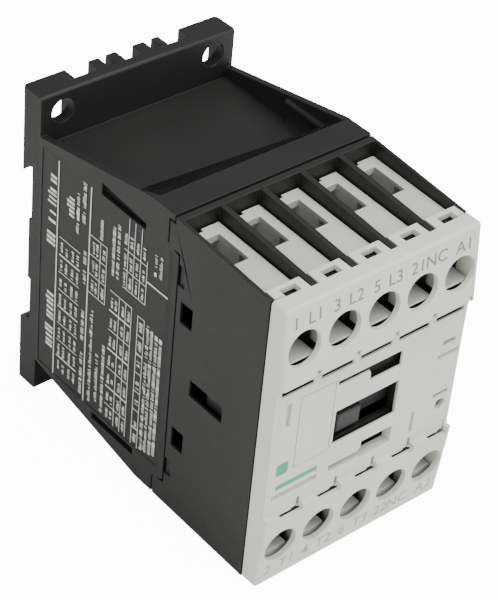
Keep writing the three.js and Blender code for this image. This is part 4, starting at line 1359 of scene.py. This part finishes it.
@dataclass
class Inside:
    """The frame's own nodes that stay, each with its material."""

    shelf: FinishShelf
    frame: dict

    def build(self) -> None:
        """Dress the nodes that no modelled piece replaces."""
        finishes = (
            ("fixed_contact", Finish.BRASS),
            ("coil_terminal", Finish.BRASS),
            ("bridge", Finish.BRASS),
            ("contact_spring", Finish.WIRE),
            ("return_spring", Finish.WIRE),
            ("latch_spring", Finish.WIRE),
            ("armature", Finish.IRON),
            ("magnet_core", Finish.IRON),
            ("coil_bobbin", Finish.CARRIER),
            ("coil_winding", Finish.COPPER),
            ("rail_latch", Finish.CARRIER),
        )
        for name, node in self.frame["nodes"].items():
            for start, finish in finishes:
                if name.startswith(start):
                    node.data.materials.clear()
                    node.data.materials.append(self.shelf.get(finish))
                    LOG.info("%s keeps its shape", name)


# ---------------------------------------------------------------- studio


@dataclass
class Studio:
    """Pale floor, soft light and the camera."""

    place: tuple[float, float, float] = (-0.21487, -0.229171, 0.279103)
    azimuth: float = 43.575
    elevation: float = 38.021
    roll: float = 5.867
    lens: float = 129.1

    def camera(self) -> None:
        """Set the camera."""
        turn, dip = math.radians(self.azimuth), math.radians(self.elevation)
        forward = Vector((math.sin(turn) * math.cos(dip), math.cos(turn) * math.cos(dip), -math.sin(dip)))
        right = forward.cross(Vector((0, 0, 1))).normalized()
        up = right.cross(forward)
        roll = math.radians(self.roll)
        across = right * math.cos(roll) + up * math.sin(roll)
        above = up * math.cos(roll) - right * math.sin(roll)
        data = bpy.data.cameras.new("camera")
        data.lens = self.lens
        data.sensor_width = 36.0
        data.clip_start = 0.01
        camera = bpy.data.objects.new("camera", data)
        bpy.context.scene.collection.objects.link(camera)
        pose = Matrix((across, above, -forward)).transposed().to_4x4()
        camera.matrix_world = Matrix.Translation(self.place) @ pose
        bpy.context.scene.camera = camera

    def lamp(self, name: str, place: Vector, aim: Vector, size: float, watts: float) -> None:
        """Add one soft light.

        Args:
            name: The light's name.
            place: Where it stands.
            aim: What it points at.
            size: Width of its panel, in metres.
            watts: Its power.
        """
        data = bpy.data.lights.new(name, "AREA")
        data.shape = "SQUARE"
        data.size = size
        data.energy = watts
        lamp = bpy.data.objects.new(name, data)
        bpy.context.scene.collection.objects.link(lamp)
        lamp.location = place
        lamp.rotation_euler = (aim - place).to_track_quat("-Z", "Y").to_euler()

    def build(self) -> None:
        """Set up floor, world, lights and camera."""
        deselect_all()
        bpy.ops.mesh.primitive_plane_add(size=6, location=(0, 0, -0.0005))
        floor = bpy.context.object
        floor.name = "floor"
        material, tree, shader = fresh_material("pale studio floor")
        shader.inputs["Base Color"].default_value = linear("#f4f4f2")
        shader.inputs["Roughness"].default_value = 0.9
        shader.inputs["Emission Color"].default_value = linear("#ffffff")
        eye = add_node(tree, "ShaderNodeLightPath")
        glow = add_node(tree, "ShaderNodeMath", {"operation": "MULTIPLY"})
        glow.inputs[1].default_value = 12.0
        tree.links.new(eye.outputs["Is Camera Ray"], glow.inputs[0])
        tree.links.new(glow.outputs[0], shader.inputs["Emission Strength"])
        floor.data.materials.append(material)
        world = bpy.data.worlds.new("studio")
        world.use_nodes = True
        sky = world.node_tree.nodes["Background"]
        sky.inputs["Color"].default_value = linear("#f6f7f8")
        sky.inputs["Strength"].default_value = 0.4
        bpy.context.scene.world = world
        aim = Vector((0, 0, 0.035))
        self.lamp("top", Vector((0.1, -0.15, 0.9)), aim, 0.7, 9.0)
        self.lamp("left", Vector((-0.95, -0.25, 0.35)), aim, 0.6, 5.0)
        self.lamp("front", Vector((0.45, -0.85, 0.55)), aim, 1.3, 10.0)
        self.camera()


def main() -> None:
    """Build the starter round its frame."""
    logging.basicConfig(level=logging.INFO, format="%(name)s: %(message)s")
    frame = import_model()
    shelf = FinishShelf()
    FrontCover(shelf).build()
    ContactHousing(shelf).build()
    BaseHousing(shelf).build()
    SidePrint(shelf).build()
    Terminals(shelf).build()
    Carrier(shelf).build()
    Inside(shelf, frame).build()
    Studio().build()
    bpy.context.view_layer.update()


if __name__ == "__main__":
    main()
